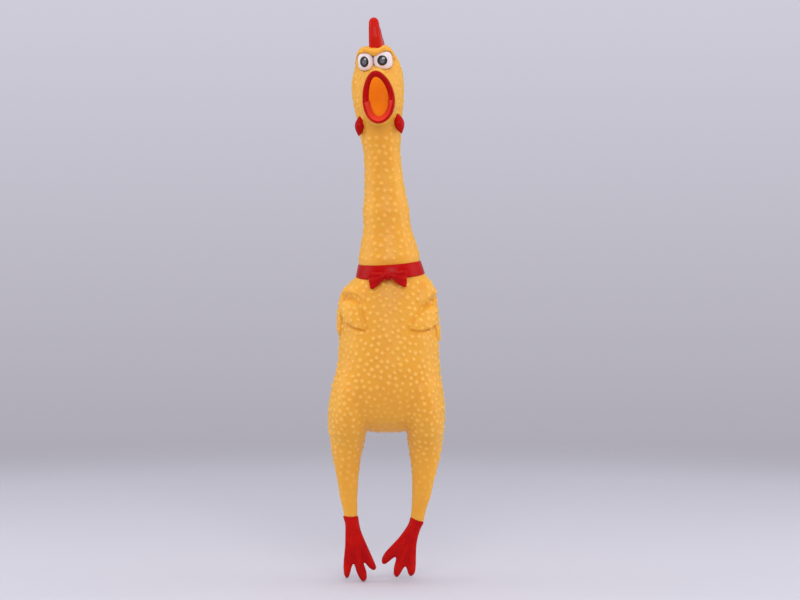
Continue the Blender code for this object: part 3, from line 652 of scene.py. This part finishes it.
def plain(name, colour, roughness, coat=0.0):
    made, tree, shader = material(name, roughness, coat)
    tint = tuple(value * 0.9 for value in colour[:3]) + (1.0,)
    tree.links.new(mixed(tree, noise(tree, 80.0, 0.4, 0.6), colour, tint), shader.inputs["Base Color"])
    return made


# ---- the skin's shape ----

TORSO_TABLE = smooth_rows(TORSO, 1.6)
LEG_TABLE = {side: smooth_rows(rows, 2.0) for side, rows in LEG.items()}
NECK_TABLE = smooth_rows([(z, 0.0, r, -r, r) for z, r in NECK], 1.0)
HEAD_TABLE = smooth_rows(HEAD, 1.2)


def shoulder_slope(z):
    """The shoulders tip over with the collar."""
    return math.tan(NECK_LEAN) * ramp(z, 195.0, 216.0)


def unrolled(p):
    """Distance round the body from the middle of its front, as if it were a cylinder."""
    z, (centre, half, front, back) = TORSO_TABLE
    c, h, f, b = [np.interp(p[:, 2], z, column) for column in (centre, half, front, back)]
    return UNROLLED_RADIUS * np.arctan2((p[:, 0] - c) / h, -(p[:, 1] - (f + b) / 2) / ((b - f) / 2))


def wing_relief(p):
    """How far the wing feathers stand out of the body at each point, with a groove along their edges."""
    across = unrolled(p)
    relief = -1.0 * ramp(np.abs(across), 20, 34) * ramp(p[:, 2], 166, 178) * (1 - ramp(p[:, 2], 200, 212))
    for feathers in WINGS.values():
        for outline, height, rise in feathers:
            inset = -outline_distance(across, p[:, 2], outline)
            groove = 0.9 * (1 - ramp(np.abs(across), 30, 38)) / rise**2
            relief -= groove * np.exp(-(((inset + 0.8) / 0.9) ** 2))
            bulge = height * (0.75 + 0.25 * ramp(inset, 0.0, 5.0)) * ramp(inset, -0.4, rise)
            relief = np.maximum(relief, bulge - 3 * (1 - ramp(inset, -0.8, 0.2)))
    return relief


def above_paint(ankle, side):
    """Height over the edge of a foot's red paint, for points in the foot's frame."""
    rise, slope = PAINT_EDGE[side]
    return ankle[:, 2] + slope * ankle[:, 0] - rise


def body_field(world):
    """Torso, legs down to the paint's edge, tail and wings."""
    p = world - np.array([0.0, SETBACK, 0.0])
    p[:, 2] -= (p[:, 0] - 2.5) * shoulder_slope(p[:, 2])
    result = elliptic(p, TORSO_TABLE)
    for side in (1, -1):
        result = join(result, elliptic(p, LEG_TABLE[side]), 2.6)
    result = join(result, ball(p, *TAIL), 4.0)
    for side in (1, -1):
        near = (world[:, 2] < 56) & (world[:, 0] * side > 0)
        ankle = local(world[near], FOOT_FRAME[side])
        result[near] = cut(result[near], -above_paint(ankle, side), 0.5)
    fold = np.exp(-((p[:, 2] - RUMP_FOLD_Z) ** 2)) * (1 - ramp(np.abs(p[:, 0] - 0.6), 12, 17))
    result = result + 0.9 * fold * (p[:, 1] < 0)
    wing_zone = (p[:, 2] > 164) & (p[:, 2] < 216)
    result[wing_zone] -= wing_relief(p[wing_zone])
    return result


def neck_field(world):
    return elliptic(local(world, NECK_FRAME), NECK_TABLE, 0.8)


def mouth_share(x, z):
    """Angle round the mouth for points in the head's front plane."""
    return np.arctan2((z - MOUTH_Z) / MOUTH_HALF[1], (x - MOUTH_X) / MOUTH_HALF[0])


def egg(x, z, width, height):
    """About how far a point of the front plane lies outside the mouth's egg."""
    up = (z - MOUTH_Z) / height
    side = (x - MOUTH_X) / (width * (1 - MOUTH_TAPER * np.clip(up, -1.2, 1.2)))
    return (np.sqrt(side**2 + up**2) - 1) * np.minimum(width, height)


def lip_front(angle):
    return LIP_CORNER_Y - LIP_TIP_REACH * np.sin(angle) ** 2


def head_outer(p):
    """Skull, snout and brow, before the mouth is hollowed out."""
    skull = elliptic(p, HEAD_TABLE)
    front = lip_front(mouth_share(p[:, 0], p[:, 2])) + LIP_DEPTH
    share = np.clip((p[:, 1] - SNOUT_ROOT[0]) / (front - SNOUT_ROOT[0]), 0, 1)
    scale = SNOUT_ROOT[1] + (1.03 - SNOUT_ROOT[1]) * share
    snout = egg(p[:, 0], p[:, 2], MOUTH_HALF[0] * scale, MOUTH_HALF[1] * scale)
    snout = np.maximum(cut(snout, front - p[:, 1], 0.8), p[:, 1] - 4)
    result = join(skull, snout, 3.5)
    for start, end in zip(BROW, BROW[1:]):
        result = join(result, capsule(p, start, end, BROW_RADIUS), 2.2)
    return result


def eye_field(p, side):
    """A flat-fronted white pillow; the two nearly meet over the beak."""
    middle, half, _, _ = EYES[side]
    q = np.abs((p - np.array([middle, EYE_Y, EYE_Z])) / np.array([half, EYE_DEPTH, EYE_TALL]))
    return ((q**2.8).sum(1) ** (1 / 2.8) - 1) * EYE_DEPTH


def mouth_hollow(p):
    """The hollow seen through the beak, rounded at the back of the head."""
    deep = np.clip((p[:, 1] + 8) / 22, 0, 0.999)
    size = np.sqrt(1 - deep**2)
    wide = np.maximum((MOUTH_HALF[0] - 1.6) * size, 0.3)
    tall = np.maximum((MOUTH_HALF[1] - 1.6) * size, 0.3)
    return np.maximum(egg(p[:, 0], p[:, 2], wide, tall), p[:, 1] - 13.9)


def head_field(world):
    p = local(world, HEAD_FRAME)
    skin = join(head_outer(p), neck_field(world), 2.0)
    high = p[:, 2] > 46
    for side in EYES:
        skin[high] = cut(skin[high], 0.2 - eye_field(p[high], side), 0.3)
    return cut(skin, -mouth_hollow(p), 0.6)


def crown_field(world):
    """Neck and head as one skin."""
    result = neck_field(world)
    high = world[:, 2] > 296
    result[high] = head_field(world[high])
    return result


# ---- pimples ----


def scatter(verts, spacing):
    """Evenly spread points picked from verts, never closer than spacing says; spacing 0 keeps a place bare."""
    order = list(range(len(verts)))
    random.Random(SEED).shuffle(order)
    cell = 8.0
    filled = {}
    chosen = []
    for index in order[:60000]:
        gap = spacing[index]
        if gap <= 0:
            continue
        x, y, z = verts[index]
        key = (int(x // cell), int(y // cell), int(z // cell))
        clear = True
        for dx, dy, dz in np.ndindex(3, 3, 3):
            for other in filled.get((key[0] + dx - 1, key[1] + dy - 1, key[2] + dz - 1), ()):
                ox, oy, oz = verts[other]
                if (x - ox) ** 2 + (y - oy) ** 2 + (z - oz) ** 2 < gap * gap:
                    clear = False
                    break
            if not clear:
                break
        if clear:
            filled.setdefault(key, []).append(index)
            chosen.append(index)
    return chosen


def add_pimples(verts, normals, spacing, radius, height):
    """Raises a round pimple at each scattered point. Returns the points and how far up a pimple each lies."""
    centres = scatter(verts, spacing)
    dice = random.Random(SEED)
    tree = kdtree.KDTree(len(centres))
    for number, index in enumerate(centres):
        tree.insert(verts[index], number)
    tree.balance()
    size = np.array([radius[index] * dice.uniform(0.85, 1.15) for index in centres])
    tall = np.array([height[index] * dice.uniform(0.8, 1.2) for index in centres])
    lift = np.zeros(len(verts))
    top = np.zeros(len(verts))
    for index, point in enumerate(verts):
        _, number, distance = tree.find(point)
        if distance < size[number]:
            share = (1 - (distance / size[number]) ** 2) ** 1.2
            lift[index] = tall[number] * share
            top[index] = share
    return verts + normals * lift[:, None], top


def body_spacing(verts):
    """Pimples about 5 mm apart, none on the wings' edges, the ankles or under the collar."""
    z = verts[:, 2]
    spacing = np.full(len(verts), PIMPLES["body"][0])
    spacing[z < 58] = 0
    for line in (THIGH_SEAM, SHANK_SEAM):
        spacing[np.abs(z - line) < SEAM_BARE] = 0
    spacing[z > 214] = 0
    zone = (z > 166) & (z < 216)
    p = verts[zone] - np.array([0.0, SETBACK, 0.0])
    relief = wing_relief(p)
    steep = np.abs(wing_relief(p + 0.8) - relief) + np.abs(wing_relief(p - 0.8) - relief)
    spacing[zone] = np.where(steep > 0.5, 0, spacing[zone])
    return spacing


def parted_skin(verts, faces, parts, yellow, **values):
    """One piece for each named choice of faces, shaded as the whole skin."""
    normals = mesh_normals(verts, faces)
    made = {}
    for name, chosen in parts.items():
        made[name] = make_mesh(name, verts, faces[chosen], normals, **values)
        made[name].data.materials.append(yellow)
    return made


def build_body_skin(yellow):
    """Body and both legs as one skin, parted where nothing bends."""
    verts, faces = surface(body_field, (-44, -36, 40), (44, 36, 227), STEP)
    _, normals = distance_and_normal(body_field, verts)
    count = len(verts)
    radius = np.full(count, PIMPLES["body"][1])
    belly = np.exp(-(((verts[:, 0] - 1) / 16) ** 2) - ((verts[:, 2] - 124) / 22) ** 2) * (verts[:, 1] < 0)
    fade = ramp(verts[:, 2], 56, 105) * (1 - 0.75 * belly)
    height = 0.2 + 0.5 * fade
    verts, top = add_pimples(verts, normals, body_spacing(verts), radius, height)
    # How strongly each pimple's top gets its painted highlight: fainter low down and on the belly.
    top *= 0.15 + 0.55 * fade
    middle = verts[faces].mean(1)
    parts = {"soft_torso": middle[:, 2] > THIGH_SEAM}
    for side, name in ((1, "left"), (-1, "right")):
        mine = middle[:, 0] * side > 0
        parts[f"{name}_soft_knee"] = mine & (middle[:, 2] <= THIGH_SEAM) & (middle[:, 2] > SHANK_SEAM)
        parts[f"{name}_soft_shank"] = mine & (middle[:, 2] <= SHANK_SEAM)
    return parted_skin(verts, faces, parts, yellow, pimple=top)


def build_crown_skin(yellow):
    """Neck and head as one skin, parted across the neck."""
    verts, faces = surface(crown_field, (-34, -40, 222), (34, 30, 384), CROWN_STEP)
    _, normals = distance_and_normal(crown_field, verts)
    p = local(verts, HEAD_FRAME)
    neck = local(verts, NECK_FRAME)
    # The inside of the mouth, where the skin is painted with orange light.
    inner = ramp(-mouth_hollow(p), -0.6, 0.0) * (p[:, 1] > -26)
    # Painted glow inside the mouth, standing in for light through the skin; it is painted brighter at its top.
    glow = inner * (0.15 + 0.85 * ramp(p[:, 2], MOUTH_Z - 15, MOUTH_Z + 15))
    spacing = np.full(len(verts), PIMPLES["neck"][0])
    spacing[neck[:, 2] < -19] = 0
    spacing[np.abs(neck[:, 2] - NECK_SEAM) < SEAM_BARE] = 0
    head_zone = p[:, 2] > 8
    spacing[head_zone] = PIMPLES["head"][0]
    face = (p[:, 1] < -13) & (np.abs(p[:, 0] - 1) < 14) & (p[:, 2] > 6)
    spacing[face | (inner > 0) | (p[:, 2] > 60)] = 0
    radius = np.where(head_zone, PIMPLES["head"][1], PIMPLES["neck"][1])
    height = np.where(head_zone, 0.45, 0.5)
    verts, top = add_pimples(verts, normals, spacing, radius, height)
    # How strongly each pimple's top gets its painted highlight.
    top *= np.where(head_zone, 0.3, 0.5)
    middle = verts[faces].mean(1)
    above = local(middle, NECK_FRAME)[:, 2] > NECK_SEAM
    parts = {"soft_neck": ~above, "soft_head": above}
    return parted_skin(verts, faces, parts, yellow, pimple=top, inner=inner, glow=glow)


# ---- red pieces, eyes ----


def to_world(points, matrix):
    m = np.array(matrix)
    return points @ m[:3, :3].T + m[:3, 3]


def solid(name, field, low, high, matrix, made, step=FINE):
    """A piece from a field in a local frame."""
    verts, faces = surface(field, low, high, step)
    verts = to_world(verts, matrix)
    obj = make_mesh(name, verts, faces, mesh_normals(verts, faces))
    obj.data.materials.append(made)
    return obj


def comb_field(p):
    """The comb's side view, thinner toward its top and its back."""
    shape = outline_distance(p[:, 1], p[:, 2], COMB) - 0.4
    share = np.clip((p[:, 2] - COMB_HEIGHTS[0]) / (COMB_HEIGHTS[1] - COMB_HEIGHTS[0]), 0, 1)
    half = COMB_HALF[0] + (COMB_HALF[1] - COMB_HALF[0]) * share
    half *= 1 - 0.25 * share * ramp(p[:, 1], -4, 4)
    across = np.abs(p[:, 0] - COMB_X - COMB_LEAN * (p[:, 2] - COMB_HEIGHTS[0]))
    return rounded_cut(shape, across - half, np.minimum(half - 0.05, 3.2))


def wattle_field(p):
    """A flat drop, pointed at both ends."""
    wide, deep, tall = WATTLE_HALF
    share = np.clip(np.abs(p[:, 2]) / tall, 0, 1)
    width = np.maximum(1 - share**1.8, 0.05)
    q = np.sqrt((p[:, 0] / (wide * width)) ** 2 + (p[:, 1] / (deep * width)) ** 2)
    beyond = np.maximum(np.abs(p[:, 2]) - tall, 0)
    return (q - 1) * 3.0 * width + beyond


def rounded(points, steps=4):
    """A closed smooth curve through the points, as a finer outline."""
    points = [np.array(point, float) for point in points]
    curve = []
    for index, start in enumerate(points):
        before = points[index - 1]
        end, after = points[(index + 1) % len(points)], points[(index + 2) % len(points)]
        for step in range(steps):
            t = step / steps
            square = (2 * before - 5 * start + 4 * end - after) * t * t
            cube = (3 * start - before - 3 * end + after) * t**3
            curve.append(start + 0.5 * ((end - before) * t + (square + cube)))
    return curve


def foot_field(side):
    """A webbed slab with a ridge down each toe, thickening to a round ankle and plugged into the shank."""
    outline = rounded(FOOT[side])

    def field(p):
        shape = outline_distance(p[:, 0], p[:, 2], outline)
        thick = ramp(p[:, 2], -20.0, -1.0)
        front = PADDLE[0] + (-ANKLE_HALF - PADDLE[0]) * thick
        back = PADDLE[1] + (ANKLE_HALF - PADDLE[1]) * thick
        ridge = np.zeros(len(p))
        for x, z in TOE_TIPS[side]:
            away = capsule(p * np.array([1, 0, 1]), (0, 0, -12), (x, 0, z), 0)
            ridge = np.maximum(ridge, np.exp(-((away / 2.0) ** 2)))
        web = 1.3 * (1 - ridge) * (1 - thick)
        middle, half = (front + back) / 2, (back - front) / 2
        slab = np.abs(p[:, 1] - middle) - half + web
        above = above_paint(p, side)
        plug = 0.8 * ramp(above, -0.3, 0.5)
        return cut(rounded_cut(shape, slab, np.minimum(half - 0.1, 4.0)) + plug, above - 1.8, 0.5)

    return field


def lip_ring(angle, lower):
    """The rim's section at one place round the mouth: a rounded band, scooped inside on the lower beak."""
    front = lip_front(angle)
    wide, tall = MOUTH_HALF
    corner = min(abs(math.sin(angle) - math.sin(GAPE_ANGLE)) / 0.25, 1.0)
    scoop = lower * corner
    rows = [
        (0.0, 3.6),
        (0.0, 1.3),
        (0.25, 0.5),
        (0.9, 0.0),
        (1.9, 0.05),
        (2.6, 0.3 + 0.8 * scoop),
        (3.8, 0.9 + 1.7 * scoop),
        (LIP_WIDTH + 0.6 * lower, 1.8 + 2.6 * scoop),
        (LIP_WIDTH + 0.6 * lower, 4.0 + 2.6 * scoop),
    ]
    points = []
    for inset, back in rows:
        up = math.sin(angle)
        x = (wide + 0.4 - inset) * math.cos(angle) * (1 - MOUTH_TAPER * up)
        points.append((MOUTH_X + x, front + back, MOUTH_Z + (tall + 0.4 - inset) * up))
    return points


def build_lips(red, painted_lit_red):
    """The beak's two red rims; the lower one's inner band is painted a lighter red, as if lit from above."""
    half_turn = math.pi - GAPE_ANGLE
    for name, start, end, lower in (
        ("upper_lip", GAPE_ANGLE, half_turn, 0.0),
        ("lower_lip", half_turn, math.tau + GAPE_ANGLE, 1.0),
    ):
        rings = np.array([lip_ring(angle, lower) for angle in np.linspace(start, end, 90)])
        verts, faces = grid_mesh(rings)
        verts = to_world(verts, HEAD_FRAME)
        obj = make_mesh(name, verts, faces)
        obj.data.materials.append(red)
        obj.data.materials.append(painted_lit_red)
        if lower:
            count, size = rings.shape[:2]
            rows = np.arange((count - 1) * size) % size
            slots = np.zeros(len(obj.data.polygons), np.int32)
            # The lower rim's inner rows take the lighter red, painted light on the band that faces up.
            slots[: len(rows)] = (rows >= 4) & (rows < 8)
            obj.data.polygons.foreach_set("material_index", slots)
        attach(obj, "head")
        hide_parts(f"{name.split('_')[0]}_beak_lip")


def dome(name, centre, half, made, matrix):
    def field(p):
        return ball(p, centre, half)

    reach = np.array(half) + 1.2
    low, high = np.array(centre) - reach, np.array(centre) + reach
    return solid(name, field, low, high, matrix, made, FINEST)


def mark_pupil_reflection(obj, centre, reach):
    """Marks the grey middle of a pupil, where its reflection is painted, by distance from its centre in the
    face's plane.
    """
    verts = np.zeros(len(obj.data.vertices) * 3)
    obj.data.vertices.foreach_get("co", verts)
    p = local(verts.reshape(-1, 3) / MM, HEAD_FRAME) - np.array(centre)
    away = np.hypot(p[:, 0] / reach[0], p[:, 2] / reach[1])
    layer = obj.data.attributes.new("middle", "FLOAT", "POINT")
    layer.data.foreach_set("value", 1 - ramp(away, 0.42, 0.6))


def build_face(white, black, red):
    for side, name in ((1, "left"), (-1, "right")):
        middle, half, pupil_x, (wide, tall) = EYES[side]
        low, high = (middle - half - 1, -19.6, EYE_Z - 7.4), (middle + half + 1, -8.4, EYE_Z + 7.4)
        field = partial(eye_field, side=side)
        eye = solid(f"{name}_eye", field, low, high, HEAD_FRAME, white, FINEST)
        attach(eye, "head")
        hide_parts(f"{name}_eye_white")
        centre = (pupil_x, PUPIL_Y, EYE_Z + 0.1)
        pupil = dome(f"{name}_iris", centre, (wide, PUPIL_DEPTH, tall), black, HEAD_FRAME)
        mark_pupil_reflection(pupil, centre, (wide, tall))
        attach(pupil, "head")
        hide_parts(f"{name}_pupil")
        x, z, lean = WATTLES[side]
        place = HEAD_FRAME @ at(x, WATTLE_Y, z) @ Matrix.Rotation(math.radians(lean), 4, "Y")
        wattle = solid(f"{name}_jowl", wattle_field, (-5, -7, -9), (5, 7, 9), place, red)
        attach(wattle, "head")
        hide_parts(f"{name}_wattle")


def build_comb(red):
    comb = solid("fin_comb", comb_field, (-8, -15, 55), (8, 18, 92), HEAD_FRAME, red)
    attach(comb, "head")
    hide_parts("comb")


def build_feet(red):
    """The red feet, bent with the ankles."""
    for side, name in ((1, "left"), (-1, "right")):
        foot = solid(f"{name}_paddle", foot_field(side), (-22, -8, -50), (22, 8, 5), FOOT_FRAME[side], red)
        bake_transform(foot)
        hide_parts(f"{name}_foot")


def build_collar(red):
    """A round band, wider at its lower edge."""
    profile = [(20.9, -4.4), (23.7, -4.6), (24.3, -4.3), (24.4, -3.6), (23.4, 0.4), (22.3, 4.4), (21.9, 5.0),
               (21.3, 5.2), (20.8, 5.0)]
    rings = []
    for step in range(120):
        angle = math.tau * step / 120
        rings.append([(r * math.cos(angle), r * math.sin(angle), z) for r, z in profile])
    rings.append(rings[0])
    verts, faces = grid_mesh(rings, close_ends=False)
    verts = to_world(verts, COLLAR_FRAME)
    obj = make_mesh("soft_collar", verts, faces[:, ::-1])
    obj.data.materials.append(red)
    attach(obj, "body")
    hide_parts("collar_band")


def build_bow(red):
    """Two pleated loops and a knot on the front of the collar."""
    for side, name in ((1, "left"), (-1, "right")):
        rings = []
        for share in np.linspace(0.08, 1.0, 36):
            end = math.sqrt(1 - (max(share - 0.86, 0) / 0.14) ** 2)
            spread = math.sin(share * math.pi / 2)
            height = 1.3 + 4.7 * spread**1.1
            middle = -1.0 - 4.0 * spread**1.2
            thick = (1.5 + 1.7 * math.sin(math.pi * min(share + 0.1, 1.0))) * (0.35 + 0.65 * end)
            ring = []
            for step in range(64):
                angle = math.tau * step / 64
                up = math.cos(angle)
                pleat = 0.6 * math.cos(8.5 * up) * math.sin(math.pi * min(share, 0.9)) ** 0.5
                y = BOW_Y + 1.9 * share**2 + (thick + pleat * abs(math.sin(angle))) * math.sin(angle)
                x = share * BOW_REACH * (1 + 0.03 * up)
                tall = height * (0.72 + 0.28 * end) * math.copysign(abs(up) ** 0.8, up)
                ring.append((BOW_X + side * x, y, middle + tall))
            rings.append(ring)
        verts, faces = grid_mesh(rings)
        verts = to_world(verts, COLLAR_FRAME)
        obj = make_mesh(f"{name}_loop", verts, faces if side < 0 else faces[:, ::-1])
        obj.data.materials.append(red)
        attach(obj, "body")
        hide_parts(f"{name}_bow_loop")
    knot = dome("knot", *KNOT, red, COLLAR_FRAME)
    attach(knot, "body")
    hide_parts("bow_knot")


# ---- assembly ----


def attach_skins(body, crown):
    """Bakes each skin into world space and hides the CAD pieces it stands for; the neck's and the head's end
    points are worked out but not used.
    """
    torso = body["soft_torso"]
    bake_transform(torso)
    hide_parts("torso_skin", "belly_panel", "left_wing", "right_wing")
    for name in ("left", "right"):
        knee = body[f"{name}_soft_knee"]
        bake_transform(knee)
        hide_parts(f"{name}_leg_skin")
        shank = body[f"{name}_soft_shank"]
        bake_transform(shank)
    neck = crown["soft_neck"]
    start, end = [NECK_FRAME @ Vector((0, 0, height)) * MM for height in NECK_BLEND]
    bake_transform(neck)
    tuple(start)
    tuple(end)
    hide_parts("neck_base", "neck_skin")
    head = crown["soft_head"]
    start, end = [NECK_FRAME @ Vector((0, 0, NECK_LENGTH + height)) * MM for height in HEAD_BLEND]
    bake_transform(head)
    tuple(start)
    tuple(end)
    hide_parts("head_skin")


def paint_whistle(plastic, film):
    """Plain plastic for the whistle in the throat, which keeps its CAD shapes."""
    for name in WHISTLE:
        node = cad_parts[name]
        node.data.materials.clear()
        node.data.materials.append(film if name == "reed_tongue" else plastic)


# ---- setting ----


def area_light(name, place, target, size, power, colour=(1, 1, 1)):
    data = bpy.data.lights.new(name, "AREA")
    data.shape = "RECTANGLE"
    data.size, data.size_y = size
    data.energy = power
    data.color = colour
    light = bpy.data.objects.new(name, data)
    bpy.context.scene.collection.objects.link(light)
    light.location = place
    light.visible_camera = False
    light.rotation_euler = (Vector(target) - Vector(place)).to_track_quat("-Z", "Y").to_euler()
    return light


def build_floor():
    """A pale round floor that fades out into the backdrop behind it."""
    mesh = bpy.data.meshes.new("floor")
    shape = bmesh.new()
    bmesh.ops.create_circle(shape, cap_ends=True, segments=96, radius=FLOOR_FADE[1])
    shape.to_mesh(mesh)
    shape.free()
    floor = bpy.data.objects.new("floor", mesh)
    bpy.context.scene.collection.objects.link(floor)
    made, tree, shader = material("floor_paper", 0.8)
    shader.inputs["Base Color"].default_value = srgb(208, 205, 216)
    place = tree.nodes.new("ShaderNodeTexCoord")
    length = tree.nodes.new("ShaderNodeVectorMath")
    length.operation = "LENGTH"
    tree.links.new(place.outputs["Object"], length.inputs[0])
    fade = tree.nodes.new("ShaderNodeMapRange")
    fade.interpolation_type = "SMOOTHSTEP"
    fade.inputs["From Min"].default_value, fade.inputs["From Max"].default_value = FLOOR_FADE
    fade.inputs["To Min"].default_value, fade.inputs["To Max"].default_value = 1.0, 0.0
    tree.links.new(length.outputs["Value"], fade.inputs["Value"])
    tree.links.new(fade.outputs["Result"], shader.inputs["Alpha"])
    mesh.materials.append(made)


def build_world():
    """Soft light from all round, with a grey backdrop that brightens upward."""
    world = bpy.data.worlds.new("studio")
    world.use_nodes = True
    tree = world.node_tree
    light = tree.nodes["Background"]
    light.inputs["Color"].default_value = (0.83, 0.84, 0.9, 1)
    light.inputs["Strength"].default_value = WORLD_LIGHT
    direction = tree.nodes.new("ShaderNodeTexCoord")
    parts = tree.nodes.new("ShaderNodeSeparateXYZ")
    tree.links.new(direction.outputs["Generated"], parts.inputs[0])
    rise = tree.nodes.new("ShaderNodeMapRange")
    rise.inputs["From Min"].default_value = -0.116
    rise.inputs["From Max"].default_value = -0.035
    tree.links.new(parts.outputs["Z"], rise.inputs["Value"])
    tone = mixed(tree, rise.outputs["Result"], srgb(172, 169, 179), srgb(206, 204, 217))
    backdrop = tree.nodes.new("ShaderNodeBackground")
    tree.links.new(tone, backdrop.inputs["Color"])
    seen = tree.nodes.new("ShaderNodeLightPath")
    chosen = tree.nodes.new("ShaderNodeMixShader")
    tree.links.new(seen.outputs["Is Camera Ray"], chosen.inputs[0])
    tree.links.new(light.outputs[0], chosen.inputs[1])
    tree.links.new(backdrop.outputs[0], chosen.inputs[2])
    tree.links.new(chosen.outputs[0], tree.nodes["World Output"].inputs["Surface"])
    bpy.context.scene.world = world


def build_setting():
    build_floor()
    build_world()
    lights = [
        area_light("left_softbox", (-0.9, 0.0, 0.45), (0, 0, 0.22), (0.6, 0.9), LIGHTS["side"]),
        area_light("right_softbox", (0.9, 0.0, 0.45), (0, 0, 0.22), (0.6, 0.9), LIGHTS["side"]),
        area_light("front_softbox", (0.1, -1.6, 1.0), (0, 0, 0.2), (0.9, 0.6), LIGHTS["front"]),
        area_light("top_softbox", (0, 0.0, 1.3), (0, 0, 0.2), (0.9, 0.9), LIGHTS["top"]),
    ]
    data = bpy.data.cameras.new("camera")
    camera = bpy.data.objects.new("camera", data)
    bpy.context.scene.collection.objects.link(camera)
    data.sensor_width = 36.0
    data.lens = data.sensor_width * CAMERA_DISTANCE / VIEW_WIDTH
    camera.location = LOOK_AT + Vector((0, -math.cos(PITCH), math.sin(PITCH))) * CAMERA_DISTANCE
    camera.rotation_euler = (math.pi / 2 - PITCH, 0, 0)
    bpy.context.scene.camera = camera
    bpy.context.scene.view_settings.view_transform = "Standard"


def main():
    yellow = yellow_skin()
    red = red_skin("red_paint", srgb(186, 8, 8), srgb(170, 6, 8))
    # A lighter red, painted as light falling on the lower lip's upturned inner band.
    painted_lit_red = red_skin("painted_lit_red_paint", srgb(224, 64, 40), srgb(212, 50, 34))
    comb_red = red_skin("comb_paint", srgb(206, 34, 16), srgb(186, 20, 18))
    foot_red = red_skin("foot_paint", srgb(194, 16, 8), srgb(174, 6, 12), 0.3, 130.0)
    white = plain("eye_white_paint", srgb(238, 220, 222), 0.4)
    black = pupil_gloss()
    plastic = plain("whistle_plastic", srgb(224, 222, 214), 0.4)
    film = plain("reed_film", srgb(200, 190, 160), 0.35)
    attach_skins(build_body_skin(yellow), build_crown_skin(yellow))
    build_lips(red, painted_lit_red)
    build_face(white, black, red)
    build_comb(comb_red)
    build_collar(red)
    build_bow(red)
    build_feet(foot_red)
    paint_whistle(plastic, film)
    build_setting()


main()
